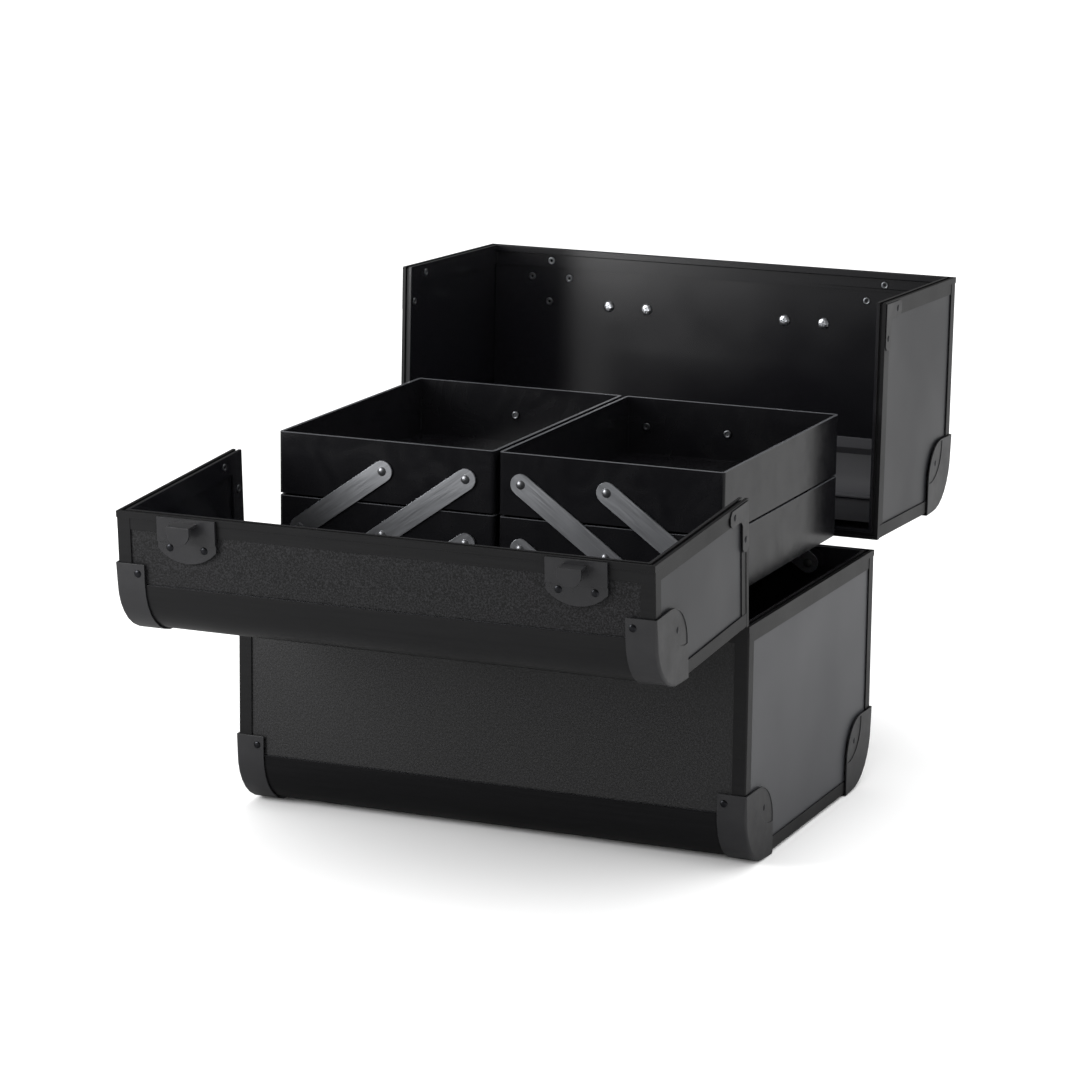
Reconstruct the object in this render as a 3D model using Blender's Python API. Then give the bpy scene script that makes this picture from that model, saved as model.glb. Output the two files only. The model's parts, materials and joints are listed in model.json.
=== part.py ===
"""A hard makeup train case with two split lids that open outwards and four cantilever trays.

The case stands on z = 0 with its length along X, its back towards +Y and the lids open at rest.
Each lid is modelled shut, in coordinates measured from its hinge axis, and an empty on that axis opens it.
"""

import math

import bmesh
import bpy
from mathutils import Matrix, Vector

# Overall sizes, in metres.
CASE_LENGTH = 0.380
CASE_DEPTH = 0.262
BASE_HEIGHT = 0.171
LID_HEIGHT = 0.168
FRONT_LID_DEPTH = 0.088
BULLNOSE_RADIUS = 0.039

# Fits shared by everything that touches or passes through something else.
FIT_GAP = 0.0003
LID_SEAM = 0.0005
MEETING_GAP = 0.0015

# Edge extrusions.
FRAME_SKIN = 0.0009
FRAME_SETBACK = 0.0001
RIM_HEIGHT = 0.012
RIM_BEAD_HEIGHT = 0.0043
RIM_BEAD_STEP = 0.0004
RIM_WEB_DEPTH = 0.0069
RIM_GROOVE_DEPTH = 0.0016
RIM_GROOVE_WIDTH = 0.0022
LEG_BELOW_PIVOT = 0.0011
INNER_LEG_THICKNESS = 0.0015
TRIM_WIDTH = 0.010
TRIM_CORNER_RADIUS = 0.0014
TRIM_CORNER_STEPS = 3
ARC_STEPS = 8

# Panels.
PANEL_THICKNESS = 0.004
BULLNOSE_THICKNESS = 0.002
SLOT_LIP_LENGTH = 0.006

# Corner caps.
CAP_THICKNESS = 0.001
CAP_PAST_BULLNOSE = 0.014
CAP_WRAP = 0.020
CAP_SHOULDER = 0.024
CAP_EDGE_RADIUS = 0.0023
CAP_EDGE_STEPS = 3
CAP_LENS_DEPTH = 0.0005
CAP_LENS_BULGE = 0.0095
CAP_LENS_MARGIN = 0.0012

# Lid hinges. Each axis lies outside its wall by the stated reach.
FRONT_OPEN_DEGREES = 94.0
BACK_OPEN_DEGREES = 91.5
FRONT_AXIS_REACH = 0.0010
BACK_AXIS_REACH = 0.0055
HINGE_FROM_END = 0.060
HINGE_KNUCKLES = 7
KNUCKLE_RADIUS = 0.0021
KNUCKLE_GAP = 0.0004
PIN_RADIUS = 0.0009
LEAF_THICKNESS = 0.0008
LEAF_WIDTH = 0.013
ROUND_STEPS = 12

# Trays.
TRAY_END_CLEARANCE = 0.0181
ARM_SPACE = 0.007
TRAY_HEIGHT = 0.0434
TRAY_WALL = 0.002
TRAY_CORNER = 0.003
TRAY_CORNER_STEPS = 3
COLUMN_GAP = 0.0034
LOWER_TRAY_CLEARANCE = 0.0113

# Cantilever arms.
ARM_WIDTH = 0.015
ARM_THICKNESS = 0.0015
ARM_END_STEPS = 8
TIER_GAP = 0.0016
PIVOT_FROM_LEFT_EDGE = 0.0169
PIVOT_FROM_RIGHT_EDGE = 0.0207
PIVOT_ABOVE_TRAY_FLOOR = 0.0222
RIVET_HEAD_RADIUS = 0.00325
RIVET_HEAD_HEIGHT = 0.0012
RIVET_CROWN_RADIUS = 0.0023
RIVET_CROWN_DROP = 0.00025
RIVET_SHANK_RADIUS = 0.0016
RIVET_COLLAR_RADIUS = 0.0028
RIVET_TAIL_THICKNESS = 0.0008
RIVET_STEPS = 10
PIVOT_CLEARANCE = 0.0003

# Latches: a hook on the front lid, a plate, a lever and a wire loop on the back lid.
LATCH_FROM_END = 0.0525
CATCH_WIDTH = 0.0425
CATCH_LENGTH = 0.0312
CATCH_BULGE = 0.0093
CATCH_THICKNESS = 0.0012
CATCH_STEP_FROM_EDGE = 0.0170
CATCH_STEP_HEIGHT = 0.0010
CATCH_FROM_EDGE = 0.0004
HOOK_WIDTH = 0.0165
HOOK_LENGTH = 0.0125
HOOK_REACH = 0.0135
HOOK_SHEET = 0.0018
HOOK_ROUNDING = 0.0070
LATCH_PLATE_LENGTH = 0.044
LATCH_PLATE_WIDTH = 0.040
LATCH_PLATE_FROM_EDGE = 0.002
LATCH_PLATE_NEAR_WIDTH = 0.030
LATCH_PLATE_FAR_WIDTH = 0.018
LATCH_WAIST_START = 0.014
LATCH_WAIST_END = 0.028
LEVER_TIP_CLEARANCE = 0.001
LEVER_WIDTH = 0.0165
LEVER_THICKNESS = 0.0016
LEVER_ROOT_RADIUS = 0.00176
LEVER_BARREL_WALL = 0.0011
LEVER_RIB_WIDTH = 0.0029
LEVER_AXIS_FROM_EDGE = 0.010
LEVER_AXIS_HEIGHT = 0.0042
LOOP_AXIS_FROM_EDGE = 0.0165
LOOP_AXIS_HEIGHT = 0.0072
LOOP_WIRE_RADIUS = 0.0010
LOOP_WIDTH = 0.0212
HOOK_FROM_EDGE = 0.0030
EAR_THICKNESS = 0.0012
EAR_RADIUS = 0.0024
LATCH_PIN_RADIUS = 0.0009
LOOP_WIRE_STEPS = 8

# Carrying handle on the back lid.
HANDLE_FROM_EDGE = 0.042
BRACKET_FROM_LATCH = 0.0651
BRACKET_LENGTH = 0.046
BRACKET_WIDTH = 0.022
BRACKET_THICKNESS = 0.0015
BRACKET_CORNER = 0.004
BRACKET_EAR_THICKNESS = 0.002
BRACKET_EAR_WALL = 0.0022
HANDLE_AXIS_HEIGHT = 0.0075
HANDLE_RISE = 0.040
HANDLE_LEG_WIDTH = 0.0085
HANDLE_LEG_THICKNESS = 0.0090
HANDLE_GRIP_RADIUS = 0.0075
HANDLE_PIN_RADIUS = 0.0020
HANDLE_BEND_RADIUS = 0.016
HANDLE_BEND_STEPS = 5
GRIP_FROM_BRACKET = 0.024
GRIP_FLATNESS = 0.8
GRIP_STEPS = 16

# Sizes that follow from the ones above.
HALF_LENGTH = CASE_LENGTH / 2
HALF_DEPTH = CASE_DEPTH / 2
STAND = CAP_THICKNESS + FIT_GAP
PANEL_INSET = FRAME_SKIN + FIT_GAP
INNER_LEG_INSET = PANEL_INSET + PANEL_THICKNESS + FIT_GAP
RIM_THICKNESS = INNER_LEG_INSET + INNER_LEG_THICKNESS
WEB_TO_PANEL = RIM_WEB_DEPTH + FIT_GAP
BACK_LID_DEPTH = CASE_DEPTH - FRONT_LID_DEPTH - MEETING_GAP
CAP_LEG = BULLNOSE_RADIUS + CAP_PAST_BULLNOSE
HINGE_LENGTH = CASE_LENGTH - 2 * HINGE_FROM_END
TRAY_LENGTH = HALF_LENGTH - RIM_THICKNESS - TRAY_END_CLEARANCE - COLUMN_GAP / 2
TRAY_DEPTH = CASE_DEPTH - 2 * (RIM_THICKNESS + ARM_SPACE)
TIER_PITCH = TRAY_HEIGHT + TIER_GAP
PIVOT_SPACING = (TRAY_LENGTH - PIVOT_FROM_LEFT_EDGE - PIVOT_FROM_RIGHT_EDGE) / 2
LATCH_FROM_CENTRE = HALF_LENGTH - LATCH_FROM_END
BRACKET_FROM_CENTRE = LATCH_FROM_CENTRE - BRACKET_FROM_LATCH
LID_BOTTOM = BASE_HEIGHT + LID_SEAM
HINGE_HEIGHT = BASE_HEIGHT + LID_SEAM / 2
LOWER_TRAY_FLOOR = BASE_HEIGHT + LOWER_TRAY_CLEARANCE
LOWER_PIVOT_HEIGHT = LOWER_TRAY_FLOOR + PIVOT_ABOVE_TRAY_FLOOR
BASE_PIVOT_HEIGHT = LOWER_PIVOT_HEIGHT - TIER_PITCH
UPPER_PIVOT_HEIGHT = LOWER_PIVOT_HEIGHT + TIER_PITCH
PIVOT_HOLE_RADIUS = RIVET_SHANK_RADIUS + PIVOT_CLEARANCE
INNER_LEG_LENGTH = BASE_HEIGHT - BASE_PIVOT_HEIGHT + PIVOT_HOLE_RADIUS + LEG_BELOW_PIVOT
ARM_INNER_FACE = TRAY_DEPTH / 2 + FIT_GAP
RIM_INNER_FACE = HALF_DEPTH - RIM_THICKNESS
HOOK_WEB_END = HOOK_FROM_EDGE + HOOK_SHEET
LOOP_LENGTH = LOOP_AXIS_FROM_EDGE + MEETING_GAP + HOOK_WEB_END + FIT_GAP + 2 * LOOP_WIRE_RADIUS
LOOP_END_FROM_LEVER_AXIS = LOOP_AXIS_FROM_EDGE - LEVER_AXIS_FROM_EDGE + LOOP_LENGTH
LEVER_LENGTH = LOOP_END_FROM_LEVER_AXIS + LEVER_TIP_CLEARANCE + LEVER_THICKNESS


def clear_scene():
    for obj in list(bpy.data.objects):
        bpy.data.objects.remove(obj, do_unlink=True)


def make_collection(name):
    collection = bpy.data.collections.new(name)
    bpy.context.scene.collection.children.link(collection)
    return collection


def make_material(name, colour, roughness, metallic):
    material = bpy.data.materials.new(name)
    material.use_nodes = True
    shader = material.node_tree.nodes["Principled BSDF"]
    shader.inputs["Base Color"].default_value = (*colour, 1.0)
    shader.inputs["Roughness"].default_value = roughness
    shader.inputs["Metallic"].default_value = metallic
    return material


def make_materials():
    return {
        "extrusion": make_material("satin_black_aluminium", (0.020, 0.020, 0.021), 0.38, 0.6),
        "panel": make_material("pebbled_black_sheet", (0.028, 0.028, 0.030), 0.55, 0.0),
        "end_panel": make_material("satin_black_sheet", (0.030, 0.031, 0.033), 0.42, 0.0),
        "cap": make_material("black_lacquered_steel", (0.022, 0.022, 0.023), 0.35, 0.4),
        "tray": make_material("glossy_black_plastic", (0.010, 0.010, 0.011), 0.18, 0.0),
        "arm": make_material("satin_steel_strip", (0.42, 0.43, 0.44), 0.35, 1.0),
        "hinge": make_material("black_hinge_steel", (0.018, 0.018, 0.018), 0.4, 0.5),
        "latch": make_material("black_latch_steel", (0.020, 0.020, 0.021), 0.3, 0.5),
        "handle": make_material("black_handle_plastic", (0.018, 0.018, 0.018), 0.5, 0.0),
    }


def finish(name, mesh_builder, material, collection, parent=None, location=(0, 0, 0)):
    """Turns a bmesh into a named object whose normals point outwards."""
    bmesh.ops.recalc_face_normals(mesh_builder, faces=mesh_builder.faces)
    mesh = bpy.data.meshes.new(name)
    mesh_builder.to_mesh(mesh)
    mesh_builder.free()
    obj = bpy.data.objects.new(name, mesh)
    collection.objects.link(obj)
    if material is not None:
        mesh.materials.append(material)
    obj.parent = parent
    obj.location = location
    return obj


def make_empty(name, collection, location, parent=None, tilt_degrees=0.0):
    empty = bpy.data.objects.new(name, None)
    empty.empty_display_size = 0.02
    collection.objects.link(empty)
    empty.parent = parent
    empty.location = location
    empty.rotation_euler = (math.radians(tilt_degrees), 0.0, 0.0)
    return empty


def prism(outline, place, low, high):
    """Extrudes a flat outline. place(u, v, w) gives the point at height w over outline point (u, v)."""
    builder = bmesh.new()
    bottom = [builder.verts.new(place(u, v, low)) for u, v in outline]
    face = builder.faces.new(bottom)
    grown = bmesh.ops.extrude_face_region(builder, geom=[face])
    top = [item for item in grown["geom"] if isinstance(item, bmesh.types.BMVert)]
    shift = Vector(place(0, 0, high)) - Vector(place(0, 0, low))
    bmesh.ops.translate(builder, verts=top, vec=shift)
    return builder


def block(low, high):
    builder = bmesh.new()
    size = Vector(high) - Vector(low)
    centre = (Vector(high) + Vector(low)) / 2
    shape = Matrix.Translation(centre) @ Matrix.Diagonal((*size, 1.0))
    bmesh.ops.create_cube(builder, size=1.0, matrix=shape)
    return builder


def rod_along_x(radius, low, high, y, z, steps=ROUND_STEPS):
    builder = bmesh.new()
    turn = Matrix.Rotation(math.pi / 2, 4, "Y")
    place = Matrix.Translation(((low + high) / 2, y, z)) @ turn
    bmesh.ops.create_cone(
        builder, cap_ends=True, segments=steps, radius1=radius, radius2=radius, depth=high - low, matrix=place
    )
    return builder


def turned_about_y(profile, x, z, side, steps=RIVET_STEPS):
    """Spins points (radius, distance from the middle plane) about an axis along Y. side is the sign of y."""
    builder = bmesh.new()
    points = [builder.verts.new((x + radius, side * reach, z)) for radius, reach in profile]
    edges = [builder.edges.new(pair) for pair in zip(points, points[1:])]
    bmesh.ops.spin(
        builder,
        geom=points + edges,
        cent=(x, 0, z),
        axis=(0, 1, 0),
        angle=2 * math.pi,
        steps=steps,
        use_merge=True,
    )
    bmesh.ops.remove_doubles(builder, verts=builder.verts, dist=1e-6)
    return builder


def combine(target, builder, operation, collection):
    """Joins a bmesh to an object, or cuts it away, and keeps only the result."""
    other = finish("tool", builder, None, collection, parent=target.parent, location=target.location)
    modifier = target.modifiers.new(operation.lower(), "BOOLEAN")
    modifier.operation = operation
    modifier.solver = "EXACT"
    modifier.object = other
    bpy.context.view_layer.update()
    evaluated = target.evaluated_get(bpy.context.evaluated_depsgraph_get())
    mesh = bpy.data.meshes.new_from_object(evaluated)
    target.modifiers.clear()
    old = target.data
    target.data = mesh
    mesh.name = old.name
    bpy.data.meshes.remove(old)
    tool_mesh = other.data
    bpy.data.objects.remove(other, do_unlink=True)
    bpy.data.meshes.remove(tool_mesh)


def join(target, builder, collection):
    combine(target, builder, "UNION", collection)


def cut(target, builder, collection):
    combine(target, builder, "DIFFERENCE", collection)


def bridge_stations(stations, closed):
    """Skins a row of equal loops of points, and caps both ends of an open row."""
    builder = bmesh.new()
    loops = []
    for station in stations:
        verts = [builder.verts.new(point) for point in station]
        loops.append([builder.edges.new((a, b)) for a, b in zip(verts, verts[1:] + verts[:1])])
    for first, second in zip(loops, loops[1:] + (loops[:1] if closed else [])):
        bmesh.ops.bridge_loops(builder, edges=first + second)
    if not closed:
        for ends in (loops[0], loops[-1]):
            bmesh.ops.contextual_create(builder, geom=ends)
    return builder


def arc(centre, radius, start_degrees, end_degrees, steps):
    """Points on an arc from start to end, both included."""
    points = []
    for step in range(steps + 1):
        angle = math.radians(start_degrees + (end_degrees - start_degrees) * step / steps)
        points.append((centre[0] + radius * math.cos(angle), centre[1] + radius * math.sin(angle)))
    return points


def bulged(start, end, bulge, steps):
    """Points on a shallow arc from start to end. A positive bulge lies to the left of the way travelled."""
    chord = Vector(end) - Vector(start)
    half = chord.length / 2
    radius = (half * half + bulge * bulge) / (2 * abs(bulge))
    sweep = math.asin(min(1.0, half / radius))
    left = Vector((-chord.y, chord.x)).normalized() * (1 if bulge > 0 else -1)
    middle = (Vector(start) + Vector(end)) / 2
    centre = middle - left * (radius - abs(bulge))
    points = []
    for step in range(steps + 1):
        angle = sweep * (2 * step / steps - 1)
        along = chord.normalized() * (radius * math.sin(angle))
        points.append(tuple(centre + left * (radius * math.cos(angle)) + along))
    return points


# Profile of the rim extrusion: u runs inwards from the outer face, v runs from the rim edge into the box.
def rim_profile():
    groove_start = (RIM_THICKNESS - RIM_GROOVE_WIDTH) / 2
    groove_end = groove_start + RIM_GROOVE_WIDTH
    return [
        (0, 0),
        (groove_start, 0),
        (groove_start, RIM_GROOVE_DEPTH),
        (groove_end, RIM_GROOVE_DEPTH),
        (groove_end, 0),
        (RIM_THICKNESS, 0),
        (RIM_THICKNESS, INNER_LEG_LENGTH),
        (INNER_LEG_INSET, INNER_LEG_LENGTH),
        (INNER_LEG_INSET, RIM_WEB_DEPTH),
        (FRAME_SKIN, RIM_WEB_DEPTH),
        (FRAME_SKIN, RIM_HEIGHT),
        (RIM_BEAD_STEP, RIM_HEIGHT),
        (RIM_BEAD_STEP, RIM_BEAD_HEIGHT),
        (0, RIM_BEAD_HEIGHT),
    ]


def rim_loop(corners):
    """Sweeps the rim profile round corners given as (point, inward direction, direction into the box)."""
    stations = []
    for point, inward, into_box in corners:
        station = [Vector(point) + Vector(inward) * u + Vector(into_box) * v for u, v in rim_profile()]
        stations.append(station)
    return bridge_stations(stations, closed=True)


def trim_profile():
    """The L-shaped edge trim: a is the depth under the outline, c is the depth from the end face."""
    outer = FRAME_SETBACK
    inner = FRAME_SKIN - FRAME_SETBACK
    middle = outer + TRIM_CORNER_RADIUS
    return arc((middle, middle), TRIM_CORNER_RADIUS, 180, 270, TRIM_CORNER_STEPS) + [
        (TRIM_WIDTH, outer),
        (TRIM_WIDTH, inner),
        (inner, inner),
        (inner, TRIM_WIDTH),
        (outer, TRIM_WIDTH),
    ]


def edge_trim(path, side):
    """Sweeps the trim along path, a row of (y, z, inward y, inward z), on the end of the box at side."""
    stations = []
    for y, z, inward_y, inward_z in path:
        station = [
            Vector((side * (HALF_LENGTH - c), y + inward_y * a, z + inward_z * a)) for a, c in trim_profile()
        ]
        stations.append(station)
    return bridge_stations(stations, closed=False)


def rounded_path(centre, start_degrees, end_degrees):
    """Trim stations round a bullnose: each lies on the arc and points at its centre."""
    path = []
    for step in range(ARC_STEPS + 1):
        angle = math.radians(start_degrees + (end_degrees - start_degrees) * step / ARC_STEPS)
        outward = (math.cos(angle), math.sin(angle))
        y = centre[0] + BULLNOSE_RADIUS * outward[0]
        z = centre[1] + BULLNOSE_RADIUS * outward[1]
        path.append((y, z, -outward[0], -outward[1]))
    return path


def panel_yz(outline, side):
    """An end panel with its outline in (y, z)."""
    outer = side * (HALF_LENGTH - PANEL_INSET)
    inner = side * (HALF_LENGTH - PANEL_INSET - PANEL_THICKNESS)
    return prism(outline, lambda u, v, w: (w, u, v), min(outer, inner), max(outer, inner))


def bullnose(edge_y, edge_z, y_sign, z_sign):
    """The quarter-round extrusion at the outer corner (edge_y, edge_z), with a lip behind each panel's edge.

    y_sign and z_sign point from the corner into the box.
    """
    radius = BULLNOSE_RADIUS
    thick = BULLNOSE_THICKNESS
    outer = arc((radius, radius), radius, 180, 270, ARC_STEPS)
    inner = arc((radius, radius), radius - thick, 270, 180, ARC_STEPS)
    web = radius - thick
    lip_in = INNER_LEG_INSET
    lip_out = INNER_LEG_INSET + INNER_LEG_THICKNESS
    lip_end = radius + SLOT_LIP_LENGTH
    bottom_slot = [(radius, thick), (radius, lip_in), (lip_end, lip_in), (lip_end, lip_out), (web, lip_out)]
    side_slot = [(lip_out, web), (lip_out, lip_end), (lip_in, lip_end), (lip_in, radius), (thick, radius)]
    outline = outer + bottom_slot + inner[1:-1] + side_slot
    half = HALF_LENGTH - TRIM_WIDTH - FIT_GAP
    placed = [(edge_y + y_sign * a, edge_z + z_sign * b) for a, b in outline]
    return prism(placed, lambda u, v, w: (w, u, v), -half, half)


def round_edges(obj, chosen, radius, steps):
    """Rounds each sharp edge of the object whose two ends are both chosen."""
    builder = bmesh.new()
    builder.from_mesh(obj.data)
    edges = []
    for edge in builder.edges:
        if edge.calc_face_angle(0) > math.radians(45) and all(chosen(vert.co) for vert in edge.verts):
            edges.append(edge)
    bmesh.ops.bevel(builder, geom=edges, offset=radius, segments=steps, profile=0.5, affect="EDGES")
    builder.to_mesh(obj.data)
    builder.free()


def corner_cap(name, corner, x_sign, y_sign, z_sign, material, collection, parent=None):
    """A pressed corner cap. The signs point into the box; a, b and c are depths along y, z and x."""
    outside = -(CAP_THICKNESS + FIT_GAP)
    inside = -FIT_GAP
    centre = (BULLNOSE_RADIUS, BULLNOSE_RADIUS)
    outer_arc = arc(centre, BULLNOSE_RADIUS - outside, 180, 270, ARC_STEPS)
    inner_arc = arc(centre, BULLNOSE_RADIUS - inside, 270, 180, ARC_STEPS)

    def place(a, b, c):
        return (corner[0] + x_sign * c, corner[1] + y_sign * a, corner[2] + z_sign * b)

    wrap = [(outside, CAP_LEG)] + outer_arc + [(CAP_LEG, outside), (CAP_LEG, inside)]
    wrap += inner_arc + [(inside, CAP_LEG)]
    cap = finish(name, prism(wrap, place, outside, CAP_WRAP), material, collection, parent)
    shoulder = arc((CAP_SHOULDER, CAP_SHOULDER), CAP_LEG - CAP_SHOULDER, 0, 90, ARC_STEPS)
    plate = [(outside, CAP_LEG)] + outer_arc + [(CAP_LEG, outside)] + shoulder
    join(cap, prism(plate, place, outside, inside), collection)

    def on_outer_outline(point):
        a = (point.y - corner[1]) * y_sign
        b = (point.z - corner[2]) * z_sign
        c = (point.x - corner[0]) * x_sign
        if a < BULLNOSE_RADIUS and b < BULLNOSE_RADIUS:
            off = math.hypot(a - centre[0], b - centre[1]) - BULLNOSE_RADIUS + outside
        else:
            off = min(a, b) - outside
        return abs(c - outside) < FIT_GAP / 2 and abs(off) < FIT_GAP / 2

    round_edges(cap, on_outer_outline, CAP_EDGE_RADIUS, CAP_EDGE_STEPS)
    lens_tip = CAP_LEG - CAP_LENS_MARGIN
    lens_low = CAP_SHOULDER - CAP_LENS_MARGIN
    far_side = bulged((lens_tip, lens_low), (lens_low, lens_tip), -CAP_LENS_BULGE, ARC_STEPS)
    near_side = bulged((lens_low, lens_tip), (lens_tip, lens_low), -CAP_LENS_BULGE, ARC_STEPS)
    lens = far_side + near_side[1:-1]
    cut(cap, prism(lens, place, outside - CAP_THICKNESS, outside + CAP_LENS_DEPTH), collection)
    return cap


def build_base(materials, collection):
    top = BASE_HEIGHT
    bottom = STAND
    corners = []
    for x_sign, y_sign in ((-1, -1), (1, -1), (1, 1), (-1, 1)):
        corners.append(((x_sign * HALF_LENGTH, y_sign * HALF_DEPTH, top), (-x_sign, -y_sign, 0), (0, 0, -1)))
    frame = finish("base_frame", rim_loop(corners), materials["extrusion"], collection)
    trim_top = top - (RIM_GROOVE_DEPTH + RIM_WEB_DEPTH) / 2
    radius = BULLNOSE_RADIUS
    for side in (-1, 1):
        path = [(-HALF_DEPTH, trim_top, 1, 0)]
        path += rounded_path((-HALF_DEPTH + radius, bottom + radius), 180, 270)
        path += rounded_path((HALF_DEPTH - radius, bottom + radius), 270, 360)
        path += [(HALF_DEPTH, trim_top, -1, 0)]
        join(frame, edge_trim(path, side), collection)
    for side in (-1, 1):
        for x in pivots_of_column(side)[:2]:
            hole = PIVOT_HOLE_RADIUS
            profile = [(0, RIM_INNER_FACE - FIT_GAP), (hole, RIM_INNER_FACE - FIT_GAP)]
            profile += [(hole, RIM_INNER_FACE + INNER_LEG_THICKNESS + FIT_GAP)]
            profile += [(0, RIM_INNER_FACE + INNER_LEG_THICKNESS + FIT_GAP)]
            for face in (-1, 1):
                cut(frame, turned_about_y(profile, x, BASE_PIVOT_HEIGHT, face), collection)

    span = HALF_LENGTH - INNER_LEG_INSET
    inset = PANEL_INSET
    thick = PANEL_THICKNESS
    panel_top = top - WEB_TO_PANEL
    panel_bottom = bottom + radius + FIT_GAP
    for name, sign in (("base_front_panel", -1), ("base_back_panel", 1)):
        faces = sorted((sign * (HALF_DEPTH - inset), sign * (HALF_DEPTH - inset - thick)))
        panel = block((-span, faces[0], panel_bottom), (span, faces[1], panel_top))
        finish(name, panel, materials["panel"], collection)
    floor_x = HALF_LENGTH - TRIM_WIDTH - FIT_GAP
    floor_y = HALF_DEPTH - radius - FIT_GAP
    notch_x = HALF_LENGTH - CAP_WRAP - FIT_GAP
    notch_y = HALF_DEPTH - CAP_LEG - FIT_GAP
    quarter = [(notch_x, floor_y), (notch_x, notch_y), (floor_x, notch_y)]
    outline = [(x, -y) for x, y in quarter] + [(x, y) for x, y in reversed(quarter)]
    outline += [(-x, y) for x, y in quarter] + [(-x, -y) for x, y in reversed(quarter)]
    floor = prism(outline, lambda u, v, w: (u, v, w), 0, thick)
    finish("base_bottom_panel", floor, materials["panel"], collection)

    reach = HALF_DEPTH - inset
    corner_radius = radius - inset
    low = bottom + inset
    outline = [(-reach, panel_top)]
    outline += arc((-reach + corner_radius, low + corner_radius), corner_radius, 180, 270, ARC_STEPS)
    outline += arc((reach - corner_radius, low + corner_radius), corner_radius, 270, 360, ARC_STEPS)
    outline += [(reach, panel_top)]
    for name, side in (("base_left_end_panel", -1), ("base_right_end_panel", 1)):
        finish(name, panel_yz(outline, side), materials["end_panel"], collection)

    for name, sign in (("base_front_bullnose", -1), ("base_back_bullnose", 1)):
        nose = bullnose(sign * HALF_DEPTH, bottom, -sign, 1)
        finish(name, nose, materials["extrusion"], collection)
    for y_name, y_sign in (("front", -1), ("back", 1)):
        for x_name, x_sign in (("left", -1), ("right", 1)):
            corner = (x_sign * HALF_LENGTH, y_sign * HALF_DEPTH, bottom)
            name = f"base_{y_name}_{x_name}_corner_cap"
            corner_cap(name, corner, -x_sign, -y_sign, 1, materials["cap"], collection)
    return frame


def build_lid(kind, hinge, reach, depth, materials, collection):
    """A lid, shut, in coordinates from its hinge axis. out is the sign of y towards the lid's own wall."""
    out = -1 if kind == "front" else 1
    radius = BULLNOSE_RADIUS
    wall = -out * reach
    meeting = wall - out * depth
    bottom = LID_SEAM / 2
    top = bottom + LID_HEIGHT
    inward = -out
    corners = []
    for x_sign, y, z, inwards, into_box in (
        (-1, wall, bottom, (0, inward, 0), (0, 0, 1)),
        (1, wall, bottom, (0, inward, 0), (0, 0, 1)),
        (1, meeting, bottom, (0, 0, 0), (0, out, 1)),
        (1, meeting, top, (0, 0, -1), (0, out, 0)),
        (-1, meeting, top, (0, 0, -1), (0, out, 0)),
        (-1, meeting, bottom, (0, 0, 0), (0, out, 1)),
    ):
        corners.append(((x_sign * HALF_LENGTH, y, z), (-x_sign, inwards[1], inwards[2]), into_box))
    frame = finish(f"{kind}_lid_frame", rim_loop(corners), materials["extrusion"], collection, hinge)
    bury = (RIM_GROOVE_DEPTH + RIM_WEB_DEPTH) / 2
    for side in (-1, 1):
        path = [(wall, bottom + bury, inward, 0)]
        start, end = (180, 90) if out < 0 else (0, 90)
        path += rounded_path((wall + inward * radius, top - radius), start, end)
        path += [(meeting + out * bury, top, 0, -1)]
        join(frame, edge_trim(path, side), collection)

    span = HALF_LENGTH - INNER_LEG_INSET
    inset = PANEL_INSET
    thick = PANEL_THICKNESS
    upright_low = bottom + WEB_TO_PANEL
    upright_high = top - radius - FIT_GAP
    faces = sorted((wall + inward * inset, wall + inward * (inset + thick)))
    upright = block((-span, faces[0], upright_low), (span, faces[1], upright_high))
    finish(f"{kind}_lid_wall_panel", upright, materials["panel"], collection, hinge)
    ends = sorted((wall + inward * (radius + FIT_GAP), meeting + out * WEB_TO_PANEL))
    flat = block((-span, ends[0], top - inset - thick), (span, ends[1], top - inset))
    finish(f"{kind}_lid_top_panel", flat, materials["panel"], collection, hinge)

    corner_radius = radius - inset
    start, end = (180, 90) if out < 0 else (0, 90)
    arc_centre = (wall + inward * radius, top - radius)
    outline = [(meeting + out * WEB_TO_PANEL, upright_low), (wall + inward * inset, upright_low)]
    outline += arc(arc_centre, corner_radius, start, end, ARC_STEPS)
    outline += [(meeting + out * WEB_TO_PANEL, top - inset)]
    for side_name, side in (("left", -1), ("right", 1)):
        panel = panel_yz(outline, side)
        finish(f"{kind}_lid_{side_name}_end_panel", panel, materials["end_panel"], collection, hinge)
    nose = bullnose(wall, top, inward, -1)
    finish(f"{kind}_lid_bullnose", nose, materials["extrusion"], collection, hinge)
    for side_name, side in (("left", -1), ("right", 1)):
        corner_cap(
            f"{kind}_lid_{side_name}_corner_cap",
            (side * HALF_LENGTH, wall, top),
            -side,
            inward,
            -1,
            materials["cap"],
            collection,
            hinge,
        )
    return frame, meeting, top


def knuckle_spans():
    """(start, end, belongs to the base leaf) of each knuckle along X."""
    pitch = HINGE_LENGTH / HINGE_KNUCKLES
    spans = []
    for number in range(HINGE_KNUCKLES):
        start = -HINGE_LENGTH / 2 + number * pitch
        spans.append((start + KNUCKLE_GAP / 2, start + pitch - KNUCKLE_GAP / 2, number % 2 == 0))
    return spans


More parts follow.
